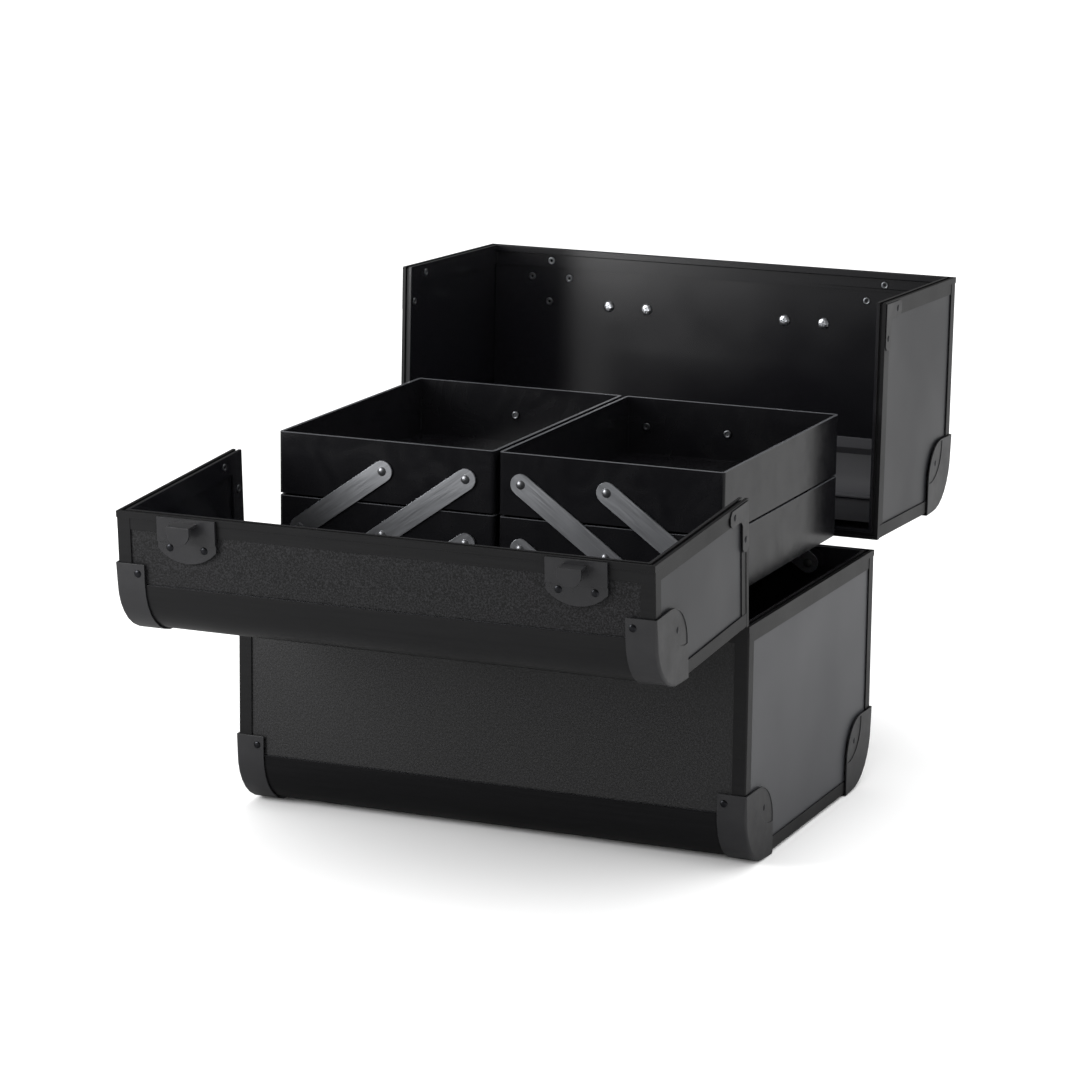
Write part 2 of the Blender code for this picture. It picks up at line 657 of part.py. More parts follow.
def build_hinge(kind, axis_y, reach, hinge, base_frame, lid_frame, materials, collection):
    """Two leaves on the outer rim faces. The pin is pressed into the base leaf and turns in the lid leaf."""
    out = -1 if kind == "front" else 1
    leaf_in = reach - FIT_GAP
    leaf_out = leaf_in - LEAF_THICKNESS
    leaf_faces = sorted((-out * leaf_in, -out * leaf_out))
    half = HINGE_LENGTH / 2
    clear = KNUCKLE_RADIUS + KNUCKLE_GAP
    bore = PIN_RADIUS + FIT_GAP
    for owner, up in (("base", -1), ("lid", 1)):
        is_base = owner == "base"
        centre_y, centre_z = (axis_y, HINGE_HEIGHT) if is_base else (0, 0)
        heights = sorted((centre_z + up * clear, centre_z + up * LEAF_WIDTH))
        low = (-half, centre_y + leaf_faces[0], heights[0])
        high = (half, centre_y + leaf_faces[1], heights[1])
        parent = None if is_base else hinge
        leaf = finish(f"{kind}_hinge_{owner}_leaf", block(low, high), materials["hinge"], collection, parent)
        for start, end, on_base in knuckle_spans():
            if on_base != is_base:
                continue
            tab_heights = sorted((centre_z + up * (bore + FIT_GAP), centre_z + up * (clear + LEAF_THICKNESS)))
            tab_low = (start, centre_y + leaf_faces[0], tab_heights[0])
            tab_high = (end, centre_y + leaf_faces[1], tab_heights[1])
            join(leaf, block(tab_low, tab_high), collection)
            if abs(leaf_out) > KNUCKLE_RADIUS:
                crank_start = bore + FIT_GAP
                crank_end = crank_start + LEAF_THICKNESS
                crank = sorted((centre_z + up * crank_start, centre_z + up * crank_end))
                shelf = sorted((centre_y - out * leaf_in, centre_y - out * PIN_RADIUS))
                join(leaf, block((start, shelf[0], crank[0]), (end, shelf[1], crank[1])), collection)
            join(leaf, rod_along_x(KNUCKLE_RADIUS, start, end, centre_y, centre_z), collection)
            if not is_base:
                through = rod_along_x(bore, start - KNUCKLE_GAP, end + KNUCKLE_GAP, 0, 0)
                cut(leaf, through, collection)
        if is_base:
            join(leaf, rod_along_x(PIN_RADIUS, -half, half, centre_y, centre_z), collection)
    if reach < clear:
        relief_half = half + KNUCKLE_GAP
        cut(base_frame, rod_along_x(clear, -relief_half, relief_half, axis_y, HINGE_HEIGHT), collection)
        cut(lid_frame, rod_along_x(clear, -relief_half, relief_half, 0, 0), collection)


def tray_span(side):
    """Low and high x of the trays in the column at side."""
    inner = side * COLUMN_GAP / 2
    outer = side * (COLUMN_GAP / 2 + TRAY_LENGTH)
    return min(inner, outer), max(inner, outer)


def pivots_of_column(side):
    """x of the outer, middle and inner pivots of a column."""
    first = tray_span(side)[0] + PIVOT_FROM_LEFT_EDGE
    columns = [first + number * PIVOT_SPACING for number in range(3)]
    if side > 0:
        columns.reverse()
    return columns


def build_tray(name, side, floor_height, pivot_xs, parent, parent_point, materials, collection):
    """An open tray with a round hole at each pivot in its front and back walls."""
    low_x, high_x = tray_span(side)
    half = TRAY_DEPTH / 2
    shift = Vector(parent_point)

    def rounded(inset, radius):
        x0, x1, y = low_x + inset, high_x - inset, half - inset
        points = arc((x1 - radius, y - radius), radius, 0, 90, TRAY_CORNER_STEPS)
        points += arc((x0 + radius, y - radius), radius, 90, 180, TRAY_CORNER_STEPS)
        points += arc((x0 + radius, -y + radius), radius, 180, 270, TRAY_CORNER_STEPS)
        points += arc((x1 - radius, -y + radius), radius, 270, 360, TRAY_CORNER_STEPS)
        return points

    def place(u, v, w):
        return Vector((u, v, w)) - shift

    top = floor_height + TRAY_HEIGHT
    outer = prism(rounded(0, TRAY_CORNER), place, floor_height, top)
    tray = finish(name, outer, materials["tray"], collection, parent)
    inner_outline = rounded(TRAY_WALL, TRAY_CORNER - TRAY_WALL)
    hollow = prism(inner_outline, place, floor_height + TRAY_WALL, top + TRAY_WALL)
    cut(tray, hollow, collection)
    hole = PIVOT_HOLE_RADIUS
    profile = [(0, half - 2 * TRAY_WALL), (hole, half - 2 * TRAY_WALL)]
    profile += [(hole, half + TRAY_WALL), (0, half + TRAY_WALL)]
    for x in pivot_xs:
        for face in (-1, 1):
            drill = turned_about_y(profile, x, floor_height + PIVOT_ABOVE_TRAY_FLOOR, face)
            bmesh.ops.translate(drill, verts=drill.verts, vec=-shift)
            cut(tray, drill, collection)
    return tray


def tray_rivet_profile():
    """Half section of a rivet through a tray wall: domed head, shank and tail, as (radius, distance out)."""
    wall_out = TRAY_DEPTH / 2
    wall_in = wall_out - TRAY_WALL
    arm_out = ARM_INNER_FACE + ARM_THICKNESS
    arm_middle = ARM_INNER_FACE + ARM_THICKNESS / 2
    return [
        (0, wall_in - FIT_GAP - RIVET_TAIL_THICKNESS),
        (RIVET_COLLAR_RADIUS, wall_in - FIT_GAP - RIVET_TAIL_THICKNESS),
        (RIVET_COLLAR_RADIUS, wall_in - FIT_GAP),
        (RIVET_SHANK_RADIUS, wall_in - FIT_GAP),
        (RIVET_SHANK_RADIUS, arm_middle),
        (RIVET_HEAD_RADIUS, arm_middle),
        (RIVET_HEAD_RADIUS, arm_out + RIVET_CROWN_DROP),
        (RIVET_CROWN_RADIUS, arm_out + RIVET_HEAD_HEIGHT - RIVET_CROWN_DROP),
        (0, arm_out + RIVET_HEAD_HEIGHT),
    ]


def wall_rivet_profile():
    """Half section of a rivet in the base: head inside, spacing collar, and shank in the rim's leg."""
    arm_middle = ARM_INNER_FACE + ARM_THICKNESS / 2
    return [
        (0, ARM_INNER_FACE - RIVET_HEAD_HEIGHT),
        (RIVET_CROWN_RADIUS, ARM_INNER_FACE - RIVET_HEAD_HEIGHT + RIVET_CROWN_DROP),
        (RIVET_HEAD_RADIUS, ARM_INNER_FACE - RIVET_CROWN_DROP),
        (RIVET_HEAD_RADIUS, arm_middle),
        (RIVET_COLLAR_RADIUS, arm_middle),
        (RIVET_COLLAR_RADIUS, RIM_INNER_FACE - FIT_GAP),
        (RIVET_SHANK_RADIUS, RIM_INNER_FACE - FIT_GAP),
        (RIVET_SHANK_RADIUS, RIM_INNER_FACE + INNER_LEG_THICKNESS - FIT_GAP),
        (0, RIM_INNER_FACE + INNER_LEG_THICKNESS - FIT_GAP),
    ]


def build_arm(name, start, end, rivets, face, parent, parent_point, materials, collection):
    """A flat strip with round ends, from start to end in (x, z). rivets holds (x, z, fixed in the base)."""
    along = Vector((end[0] - start[0], end[1] - start[1]))
    angle = math.degrees(math.atan2(along.y, along.x))
    outline = arc(start, ARM_WIDTH / 2, angle + 90, angle + 270, ARM_END_STEPS)
    outline += arc(end, ARM_WIDTH / 2, angle - 90, angle + 90, ARM_END_STEPS)
    shift = Vector(parent_point)
    faces = sorted((face * ARM_INNER_FACE, face * (ARM_INNER_FACE + ARM_THICKNESS)))
    strip = prism(outline, lambda u, v, w: Vector((u, w, v)) - shift, faces[0], faces[1])
    arm = finish(name, strip, materials["arm"], collection, parent)
    for x, z, in_base in rivets:
        profile = wall_rivet_profile() if in_base else tray_rivet_profile()
        rivet = turned_about_y(profile, x, z, face)
        bmesh.ops.translate(rivet, verts=rivet.verts, vec=-shift)
        join(arm, rivet, collection)
    return arm


def build_column(side, materials, collection):
    """Two trays carried by a long bar and two short bars on the front and on the back."""
    name = "left" if side < 0 else "right"
    outer_x, middle_x, inner_x = pivots_of_column(side)
    base_z, lower_z, upper_z = BASE_PIVOT_HEIGHT, LOWER_PIVOT_HEIGHT, UPPER_PIVOT_HEIGHT
    long_point = Vector((outer_x, 0, base_z))
    short_point = Vector((middle_x, 0, base_z))
    lower_point = Vector((middle_x, 0, lower_z))
    upper_point = Vector((inner_x, 0, upper_z))
    link_point = Vector((outer_x, 0, lower_z))
    long_pivot = make_empty(f"{name}_long_arm_pivot", collection, long_point)
    short_pivot = make_empty(f"{name}_short_arm_pivot", collection, short_point)
    lower_pivot = make_empty(f"{name}_lower_tray_pivot", collection, lower_point - long_point, long_pivot)
    upper_pivot = make_empty(f"{name}_upper_tray_pivot", collection, upper_point - long_point, long_pivot)
    link_pivot = make_empty(f"{name}_upper_arm_pivot", collection, link_point - lower_point, lower_pivot)

    for face_name, face in (("front", -1), ("back", 1)):
        build_arm(
            f"{name}_{face_name}_long_arm",
            (outer_x, base_z),
            (inner_x, upper_z),
            [(outer_x, base_z, True), (middle_x, lower_z, False), (inner_x, upper_z, False)],
            face,
            long_pivot,
            long_point,
            materials,
            collection,
        )
        build_arm(
            f"{name}_{face_name}_lower_arm",
            (middle_x, base_z),
            (inner_x, lower_z),
            [(middle_x, base_z, True), (inner_x, lower_z, False)],
            face,
            short_pivot,
            short_point,
            materials,
            collection,
        )
        build_arm(
            f"{name}_{face_name}_upper_arm",
            (outer_x, lower_z),
            (middle_x, upper_z),
            [(outer_x, lower_z, False), (middle_x, upper_z, False)],
            face,
            link_pivot,
            link_point,
            materials,
            collection,
        )
    build_tray(
        f"{name}_lower_tray",
        side,
        LOWER_TRAY_FLOOR,
        [outer_x, middle_x, inner_x],
        lower_pivot,
        lower_point,
        materials,
        collection,
    )
    build_tray(
        f"{name}_upper_tray",
        side,
        LOWER_TRAY_FLOOR + TIER_PITCH,
        [middle_x, inner_x],
        upper_pivot,
        upper_point,
        materials,
        collection,
    )


def build_catch(name, x, meeting, top, hinge, materials, collection):
    """The hook on the front lid: an arc-bottomed plate, a raised pad, and a D-shaped lip on a web."""
    half = CATCH_WIDTH / 2
    base = top + FIT_GAP
    square_end = CATCH_LENGTH - CATCH_BULGE

    def place(u, v, w):
        return (x + u, meeting - v, w)

    curve = bulged((half, square_end), (-half, square_end), -CATCH_BULGE, ARC_STEPS)
    edge = CATCH_FROM_EDGE
    sheet = prism([(-half, edge), (half, edge)] + curve, place, base, base + CATCH_THICKNESS)
    catch = finish(name, sheet, materials["latch"], collection, hinge)
    pad_top = base + CATCH_THICKNESS + CATCH_STEP_HEIGHT
    pad = [(-half, edge), (half, edge), (half, CATCH_STEP_FROM_EDGE), (-half, CATCH_STEP_FROM_EDGE)]
    join(catch, prism(pad, place, base + CATCH_THICKNESS / 2, pad_top), collection)
    hook = HOOK_WIDTH / 2
    lip_top = base + HOOK_REACH
    near = HOOK_FROM_EDGE
    web = [(-hook, near), (hook, near), (hook, HOOK_WEB_END), (-hook, HOOK_WEB_END)]
    join(catch, prism(web, place, base + CATCH_THICKNESS, lip_top - HOOK_SHEET / 2), collection)
    round_from = near + HOOK_LENGTH - HOOK_ROUNDING
    lip = [(-hook, near), (hook, near)]
    lip += bulged((hook, round_from), (-hook, round_from), -HOOK_ROUNDING, ARC_STEPS)
    join(catch, prism(lip, place, lip_top - HOOK_SHEET, lip_top), collection)
    return catch


def build_latch(name, x, meeting, top, hinge, materials, collection):
    """Plate with two ears, a lever and its wire loop. v runs back from the edge where the lids meet."""
    base = top + FIT_GAP
    plate_top = base + CATCH_THICKNESS
    half = LATCH_PLATE_WIDTH / 2

    def place(u, v, w):
        return (x + u, meeting + v, w)

    near = LATCH_PLATE_FROM_EDGE
    far = near + LATCH_PLATE_LENGTH
    right_side = [
        (LATCH_PLATE_NEAR_WIDTH / 2, near),
        (half, LATCH_WAIST_START),
        (half, LATCH_WAIST_END),
        (LATCH_PLATE_FAR_WIDTH / 2, far),
    ]
    outline = right_side + [(-u, v) for u, v in reversed(right_side)]
    plate = prism(outline, place, base, plate_top)
    plate = finish(f"{name}_latch_plate", plate, materials["latch"], collection, hinge)
    lever_y = meeting + LEVER_AXIS_FROM_EDGE
    lever_z = base + LEVER_AXIS_HEIGHT
    ear_inner = LOOP_WIDTH / 2 + 2 * LOOP_WIRE_RADIUS + FIT_GAP
    for side in (-1, 1):
        low = min(side * ear_inner, side * (ear_inner + EAR_THICKNESS))
        ear = rod_along_x(EAR_RADIUS, x + low, x + low + EAR_THICKNESS, lever_y, lever_z)
        join(plate, ear, collection)
        foot_low = (x + low, lever_y - EAR_RADIUS, plate_top - CATCH_THICKNESS / 2)
        foot_high = (x + low + EAR_THICKNESS, lever_y + EAR_RADIUS, lever_z)
        join(plate, block(foot_low, foot_high), collection)
        bore = LATCH_PIN_RADIUS + FIT_GAP
        drill = rod_along_x(bore, x + low - EAR_THICKNESS, x + low + 2 * EAR_THICKNESS, lever_y, lever_z)
        cut(plate, drill, collection)

    lever_point = Vector((x, lever_y, lever_z))
    lever_pivot = make_empty(f"{name}_latch_lever_pivot", collection, lever_point, hinge)
    lever_half = LEVER_WIDTH / 2
    body = block((-lever_half, 0, -LEVER_THICKNESS / 2), (lever_half, LEVER_LENGTH, LEVER_THICKNESS / 2))
    lever = finish(f"{name}_latch_lever", body, materials["latch"], collection, lever_pivot)
    join(lever, rod_along_x(LEVER_ROOT_RADIUS, -lever_half, lever_half, 0, 0), collection)
    pin_reach = ear_inner + EAR_THICKNESS
    join(lever, rod_along_x(LATCH_PIN_RADIUS, -pin_reach, pin_reach, 0, 0), collection)
    tip = block(
        (-lever_half, LEVER_LENGTH - LEVER_THICKNESS, -LEVER_THICKNESS / 2),
        (lever_half, LEVER_LENGTH, 2 * LEVER_THICKNESS),
    )
    join(lever, tip, collection)
    loop_y = LOOP_AXIS_FROM_EDGE - LEVER_AXIS_FROM_EDGE
    loop_z = LOOP_AXIS_HEIGHT - LEVER_AXIS_HEIGHT
    bore = LOOP_WIRE_RADIUS + FIT_GAP
    barrel = bore + LEVER_BARREL_WALL
    join(lever, rod_along_x(barrel, -lever_half, lever_half, loop_y, loop_z), collection)
    rib_half = LEVER_RIB_WIDTH / 2
    rib = block((-lever_half, loop_y - rib_half, 0), (lever_half, loop_y + rib_half, loop_z))
    join(lever, rib, collection)
    cut(lever, rod_along_x(bore, -LEVER_WIDTH, LEVER_WIDTH, loop_y, loop_z), collection)

    loop_pivot = make_empty(f"{name}_latch_loop_pivot", collection, (0, loop_y, loop_z), lever_pivot)
    wire = LOOP_WIRE_RADIUS
    reach = LOOP_WIDTH / 2 + wire
    loop = finish(
        f"{name}_latch_loop",
        rod_along_x(wire, -reach, reach, 0, 0, LOOP_WIRE_STEPS),
        materials["latch"],
        collection,
        loop_pivot,
    )
    for low, high in (
        ((-reach - wire, -wire, -wire), (-reach + wire, LOOP_LENGTH, wire)),
        ((reach - wire, -wire, -wire), (reach + wire, LOOP_LENGTH, wire)),
        ((-reach, LOOP_LENGTH - 2 * wire, -wire * 0.9), (reach, LOOP_LENGTH - 0.1 * wire, wire * 0.9)),
    ):
        join(loop, block(low, high), collection)


def build_handle(meeting, top, hinge, materials, collection):
    """Two riveted brackets and a bow handle that folds back flat against the lid."""
    base = top + FIT_GAP
    axis_y = meeting + HANDLE_FROM_EDGE
    axis_z = base + HANDLE_AXIS_HEIGHT
    leg = HANDLE_LEG_WIDTH / 2
    ear_gap = leg + FIT_GAP
    ear_radius = HANDLE_PIN_RADIUS + BRACKET_EAR_WALL
    for name, side in (("left", -1), ("right", 1)):
        x = side * BRACKET_FROM_CENTRE
        half = BRACKET_LENGTH / 2
        wide = BRACKET_WIDTH / 2
        corner = BRACKET_CORNER
        outline = []
        for cx, cy, start in ((1, 1, 0), (-1, 1, 90), (-1, -1, 180), (1, -1, 270)):
            outline += arc((cx * (half - corner), cy * (wide - corner)), corner, start, start + 90, 3)
        bracket = finish(
            f"{name}_handle_bracket",
            prism(outline, lambda u, v, w: (x + u, axis_y + v, w), base, base + BRACKET_THICKNESS),
            materials["latch"],
            collection,
            hinge,
        )
        for ear_side in (-1, 1):
            low, high = sorted((x + ear_side * ear_gap, x + ear_side * (ear_gap + BRACKET_EAR_THICKNESS)))
            join(bracket, rod_along_x(ear_radius, low, high, axis_y, axis_z), collection)
            foot = block(
                (low, axis_y - ear_radius, base + BRACKET_THICKNESS / 2), (high, axis_y + ear_radius, axis_z)
            )
            join(bracket, foot, collection)
            bore = HANDLE_PIN_RADIUS + PIVOT_CLEARANCE
            drill = rod_along_x(bore, low - BRACKET_EAR_WALL, high + BRACKET_EAR_WALL, axis_y, axis_z)
            cut(bracket, drill, collection)

    pivot = make_empty("handle_pivot", collection, (0, axis_y, axis_z), hinge)
    thick = HANDLE_LEG_THICKNESS / 2
    inner_rise = HANDLE_RISE - HANDLE_LEG_WIDTH
    bend = HANDLE_BEND_RADIUS
    x_out = BRACKET_FROM_CENTRE + leg
    x_in = BRACKET_FROM_CENTRE - leg
    outline = [(x_out, 0)]
    outline += arc((x_out - bend, HANDLE_RISE - bend), bend, 0, 90, HANDLE_BEND_STEPS)
    outline += arc((-x_out + bend, HANDLE_RISE - bend), bend, 90, 180, HANDLE_BEND_STEPS)
    outline += [(-x_out, 0)]
    outline += arc((-BRACKET_FROM_CENTRE, 0), leg, 200, 340, 3)
    outline += [(-x_in, 0)]
    inner_bend = bend - HANDLE_LEG_WIDTH
    outline += arc((-x_in + inner_bend, inner_rise - inner_bend), inner_bend, 180, 90, 3)
    outline += arc((x_in - inner_bend, inner_rise - inner_bend), inner_bend, 90, 0, 3)
    outline += [(x_in, 0)]
    outline += arc((BRACKET_FROM_CENTRE, 0), leg, 200, 340, 3)
    bow = prism(outline, lambda u, v, w: (u, v, w), -thick, thick)
    handle = finish("carry_handle", bow, materials["handle"], collection, pivot)
    grip_half = BRACKET_FROM_CENTRE - GRIP_FROM_BRACKET
    grip_y = HANDLE_RISE - HANDLE_LEG_WIDTH / 2
    grip = rod_along_x(HANDLE_GRIP_RADIUS, -grip_half, grip_half, grip_y, 0, GRIP_STEPS)
    bmesh.ops.scale(grip, verts=grip.verts, vec=(1, 1, GRIP_FLATNESS))
    join(handle, grip, collection)
    for side in (-1, 1):
        centre = side * BRACKET_FROM_CENTRE
        reach = ear_gap + BRACKET_EAR_THICKNESS
        join(handle, rod_along_x(HANDLE_PIN_RADIUS, centre - reach, centre + reach, 0, 0), collection)


def shade_rounded(collection):
    for obj in collection.objects:
        if obj.type == "MESH":
            obj.data.shade_smooth()
            obj.data.set_sharp_from_angle(angle=math.radians(35))


def main():
    clear_scene()
    collection = make_collection("makeup_train_case")
    materials = make_materials()
    base_frame = build_base(materials, collection)
    for side in (-1, 1):
        build_column(side, materials, collection)

    front_axis = -HALF_DEPTH - FRONT_AXIS_REACH
    front_hinge = make_empty("front_lid_hinge_axis", collection, (0, front_axis, HINGE_HEIGHT))
    frame, meeting, top = build_lid(
        "front", front_hinge, FRONT_AXIS_REACH, FRONT_LID_DEPTH, materials, collection
    )
    build_hinge("front", front_axis, FRONT_AXIS_REACH, front_hinge, base_frame, frame, materials, collection)
    for name, side in (("left", -1), ("right", 1)):
        catch_x = side * LATCH_FROM_CENTRE
        build_catch(f"{name}_latch_catch", catch_x, meeting, top, front_hinge, materials, collection)
    front_hinge.rotation_euler = (math.radians(FRONT_OPEN_DEGREES), 0, 0)

    back_axis = HALF_DEPTH + BACK_AXIS_REACH
    back_hinge = make_empty("back_lid_hinge_axis", collection, (0, back_axis, HINGE_HEIGHT))
    frame, meeting, top = build_lid(
        "back", back_hinge, BACK_AXIS_REACH, BACK_LID_DEPTH, materials, collection
    )
    build_hinge("back", back_axis, BACK_AXIS_REACH, back_hinge, base_frame, frame, materials, collection)
    for name, side in (("left", -1), ("right", 1)):
        build_latch(name, side * LATCH_FROM_CENTRE, meeting, top, back_hinge, materials, collection)
    build_handle(meeting, top, back_hinge, materials, collection)
    back_hinge.rotation_euler = (math.radians(-BACK_OPEN_DEGREES), 0, 0)
    shade_rounded(collection)


main()
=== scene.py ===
import json
import math

import bmesh
import bpy
from mathutils import Matrix, Vector


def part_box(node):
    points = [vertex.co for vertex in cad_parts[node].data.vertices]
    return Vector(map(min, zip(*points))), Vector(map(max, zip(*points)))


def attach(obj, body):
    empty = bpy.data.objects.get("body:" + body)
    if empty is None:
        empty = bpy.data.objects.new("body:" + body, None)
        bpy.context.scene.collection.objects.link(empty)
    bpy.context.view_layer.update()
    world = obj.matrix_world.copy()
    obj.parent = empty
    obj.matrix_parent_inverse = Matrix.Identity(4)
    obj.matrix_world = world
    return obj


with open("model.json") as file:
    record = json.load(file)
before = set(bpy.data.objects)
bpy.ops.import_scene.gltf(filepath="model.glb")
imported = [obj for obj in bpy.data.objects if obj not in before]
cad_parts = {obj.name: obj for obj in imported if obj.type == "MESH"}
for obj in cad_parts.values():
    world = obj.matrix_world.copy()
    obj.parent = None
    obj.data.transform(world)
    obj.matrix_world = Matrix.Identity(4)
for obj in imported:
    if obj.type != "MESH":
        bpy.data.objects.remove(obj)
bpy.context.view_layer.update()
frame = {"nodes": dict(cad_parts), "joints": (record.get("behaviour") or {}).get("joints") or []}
nodes = frame["nodes"]
joints = {joint["name"]: joint for joint in frame["joints"]}
scene = bpy.context.scene
print("frame loaded:", len(nodes), "parts")

# the case itself, in metres; a lid is measured shut, from its hinge axis
case = {
    "halfLength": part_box("base_frame")[1].x,
    "halfDepth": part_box("base_frame")[1].y,
    "baseBottom": 0.0013,      # underside of the rounded edges, which the corner caps hold off the table
    "lidTop": 0.16825,
    "lidBottom": 0.00025,
    "panelOuter": 0.0012,      # from an outer face to the panel set into the frame
    "panelInner": 0.0052,      # from an outer face to the inner face of the panel
    "legInner": 0.0070,        # from an outer face to the inner face of the rim's leg, which grips the panel
    "legOuter": 0.0053,        # the same to its outer face
    "legLength": 0.0145,
    "frontMeeting": 0.0890,    # edge where the two lids meet
    "backMeeting": -0.1780,
    "frontWall": 0.0010,
    "backWall": -0.0055,
    "capOut": 0.0013,          # how far a corner cap stands proud
    "noseRadius": 0.0390,      # rounded long edges
    "noseSkin": 0.0008,        # from their outer surface to where the paler hollow side begins
}


def lidMatrix(jointName):
    joint = joints[jointName]
    openAngle = -joint["range_deg"][0] * joint["axis"][0]
    return Matrix.Translation(joint["pos_m"]) @ Matrix.Rotation(math.radians(openAngle), 4, "X")


frontLid = lidMatrix("front_lid_hinge")
backLid = lidMatrix("back_lid_hinge")
lids = {
    "front": {"place": frontLid, "body": "front_lid",
              "meeting": case["frontMeeting"], "wall": case["frontWall"]},
    "back": {"place": backLid, "body": "back_lid",
             "meeting": case["backMeeting"], "wall": case["backWall"]},
}


def colour(hexText):
    # sRGB hex to the linear values that a shader takes
    parts = [int(hexText[i:i + 2], 16) / 255 for i in (1, 3, 5)]
    return tuple(p / 12.92 if p <= 0.04045 else ((p + 0.055) / 1.055) ** 2.4 for p in parts) + (1.0,)


def perMetre(millimetres):
    # pattern scale for features of that size
    return 1000.0 / millimetres


def addNode(tree, kind, settings=None, links=None):
    node = tree.nodes.new(kind)
    for name, value in (settings or {}).items():
        if isinstance(name, int) or name in node.inputs:
            node.inputs[name].default_value = value
        else:
            setattr(node, name, value)
    for name, source in (links or {}).items():
        tree.links.new(source, node.inputs[name])
    return node


def startMaterial(name):
    material = bpy.data.materials.new(name)
    material.use_nodes = True
    tree = material.node_tree
    tree.nodes.clear()
    return material, tree


def endMaterial(tree, shader):
    addNode(tree, "ShaderNodeOutputMaterial", links={"Surface": shader.outputs[0]})


# textured and polished ABS laminate on board: pebbled outside, mirror black inside
panelLook = {
    "pebble": "#212123",         # crowns of the pebbles, which catch the light
    "valley": "#0b0b0c",
    "inside": "#101013",
    "satin": "#3c3d40",          # smoother sheet on the ends of the base, painted lighter than on the lids where more light falls
    "lidSatinPaintedShade": "#27282b",       # the same sheet on the ends of the lids, painted darker as painted shade
    "grainMm": 1.3,              # real pebbles are about 0.6 mm; drawn coarser so that they show
    "speckShare": 0.9,           # size of the noise that breaks the pebbles up, as a share of theirs
    "cloudMm": 90,               # patches that handling has rubbed smoother or duller
    "outerRoughness": 0.52,
    "endRoughness": 0.40,
    "innerRoughness": 0.20,
    "specular": 0.5,
    "wornSpecular": 0.24,        # the front lid's top, rubbed dull when it stands open
    "bump": 0.24,
    "endBump": 0.06,
    "bumpDepth": 0.0003,
    "ior": 1.5,
}


def laminatePanel(name, outward, middle, grain, satin="satin"):
    # outward and middle say which side of the board is the textured outer skin
    look = panelLook
    material, tree = startMaterial(name)
    where = addNode(tree, "ShaderNodeTexCoord").outputs["Object"]
    depth = addNode(
        tree, "ShaderNodeVectorMath", {"operation": "DOT_PRODUCT", 1: outward}, {0: where})
    outer = addNode(
        tree, "ShaderNodeMath", {"operation": "GREATER_THAN", 1: Vector(outward).dot(middle)},
        {0: depth.outputs["Value"]}).outputs[0]
    # pebbles: rounded cells broken up by a little noise
    pebbles = addNode(
        tree, "ShaderNodeTexVoronoi",
        {"feature": "SMOOTH_F1", "Scale": perMetre(look["grainMm"]), "Smoothness": 0.6},
        {"Vector": where}).outputs["Distance"]
    specks = addNode(
        tree, "ShaderNodeTexNoise",
        {"Scale": perMetre(look["grainMm"] * look["speckShare"]), "Detail": 3.0, "Roughness": 0.65},
        {"Vector": where}).outputs["Fac"]
    clouds = addNode(
        tree, "ShaderNodeTexNoise", {"Scale": perMetre(look["cloudMm"]), "Detail": 2.0},
        {"Vector": where}).outputs["Fac"]
    lift = addNode(
        tree, "ShaderNodeMapRange", {"From Min": 0.42, "From Max": 0.66},
        {"Value": specks}).outputs["Result"]
    skin = addNode(tree, "ShaderNodeMix", {"data_type": "RGBA"}, {"Factor": lift})
    skin.inputs[6].default_value = colour(look["valley"] if grain else look[satin])
    skin.inputs[7].default_value = colour(look["pebble"] if grain else look[satin])
    both = addNode(tree, "ShaderNodeMix", {"data_type": "RGBA", 6: colour(look["inside"])},
                   {"Factor": outer, 7: skin.outputs[2]})
    outerRough = look["outerRoughness"] if grain else look["endRoughness"]
    smear = addNode(
        tree, "ShaderNodeMapRange",
        {"From Min": 0.3, "From Max": 0.7, "To Min": -0.04, "To Max": 0.05},
        {"Value": clouds}).outputs["Result"]
    rough = addNode(
        tree, "ShaderNodeMapRange", {"To Min": look["innerRoughness"], "To Max": outerRough},
        {"Value": outer}).outputs["Result"]
    rough = addNode(tree, "ShaderNodeMath", {"operation": "ADD"}, {0: rough, 1: smear}).outputs[0]
    height = addNode(
        tree, "ShaderNodeMath", {"operation": "MULTIPLY"}, {0: pebbles, 1: outer}).outputs[0]
    bump = addNode(
        tree, "ShaderNodeBump",
        {"Strength": look["bump" if grain else "endBump"], "Distance": look["bumpDepth"]},
        {"Height": height}).outputs["Normal"]
    specular = look["wornSpecular" if "front_lid_top" in name else "specular"]
    shader = addNode(
        tree, "ShaderNodeBsdfPrincipled", {"IOR": look["ior"], "Specular IOR Level": specular},
        {"Base Color": both.outputs[2], "Roughness": rough, "Normal": bump})
    endMaterial(tree, shader)
    return material


# black anodised aluminium: satin, with faint lines left along the extrusion
anodisedLook = {
    "dark": "#0c0c0d",
    "light": "#161617",
    "hollowPaler": "#48484b",           # the hollow side of the rounded edges, drawn paler
    "lineMm": 1.5,               # width of the lines
    "stretch": 0.02,             # lines run along x: the pattern is drawn out by the inverse of this
    "cloudMm": 60,
    "lineShare": 0.35,           # how much the lines add to what the clouds do to the gloss
    "roughness": 0.36,
    "smoother": 0.05,            # the roughness goes this far below and above
    "rougher": 0.08,
    "specular": 0.22,
    "lowSpecular": 0.06,         # rounded edges of the base, scuffed dull on tables
    "legSpecular": 0.5,          # the rim's leg inside the case
    "bump": 0.05,
    "bumpDepth": 0.0002,
}


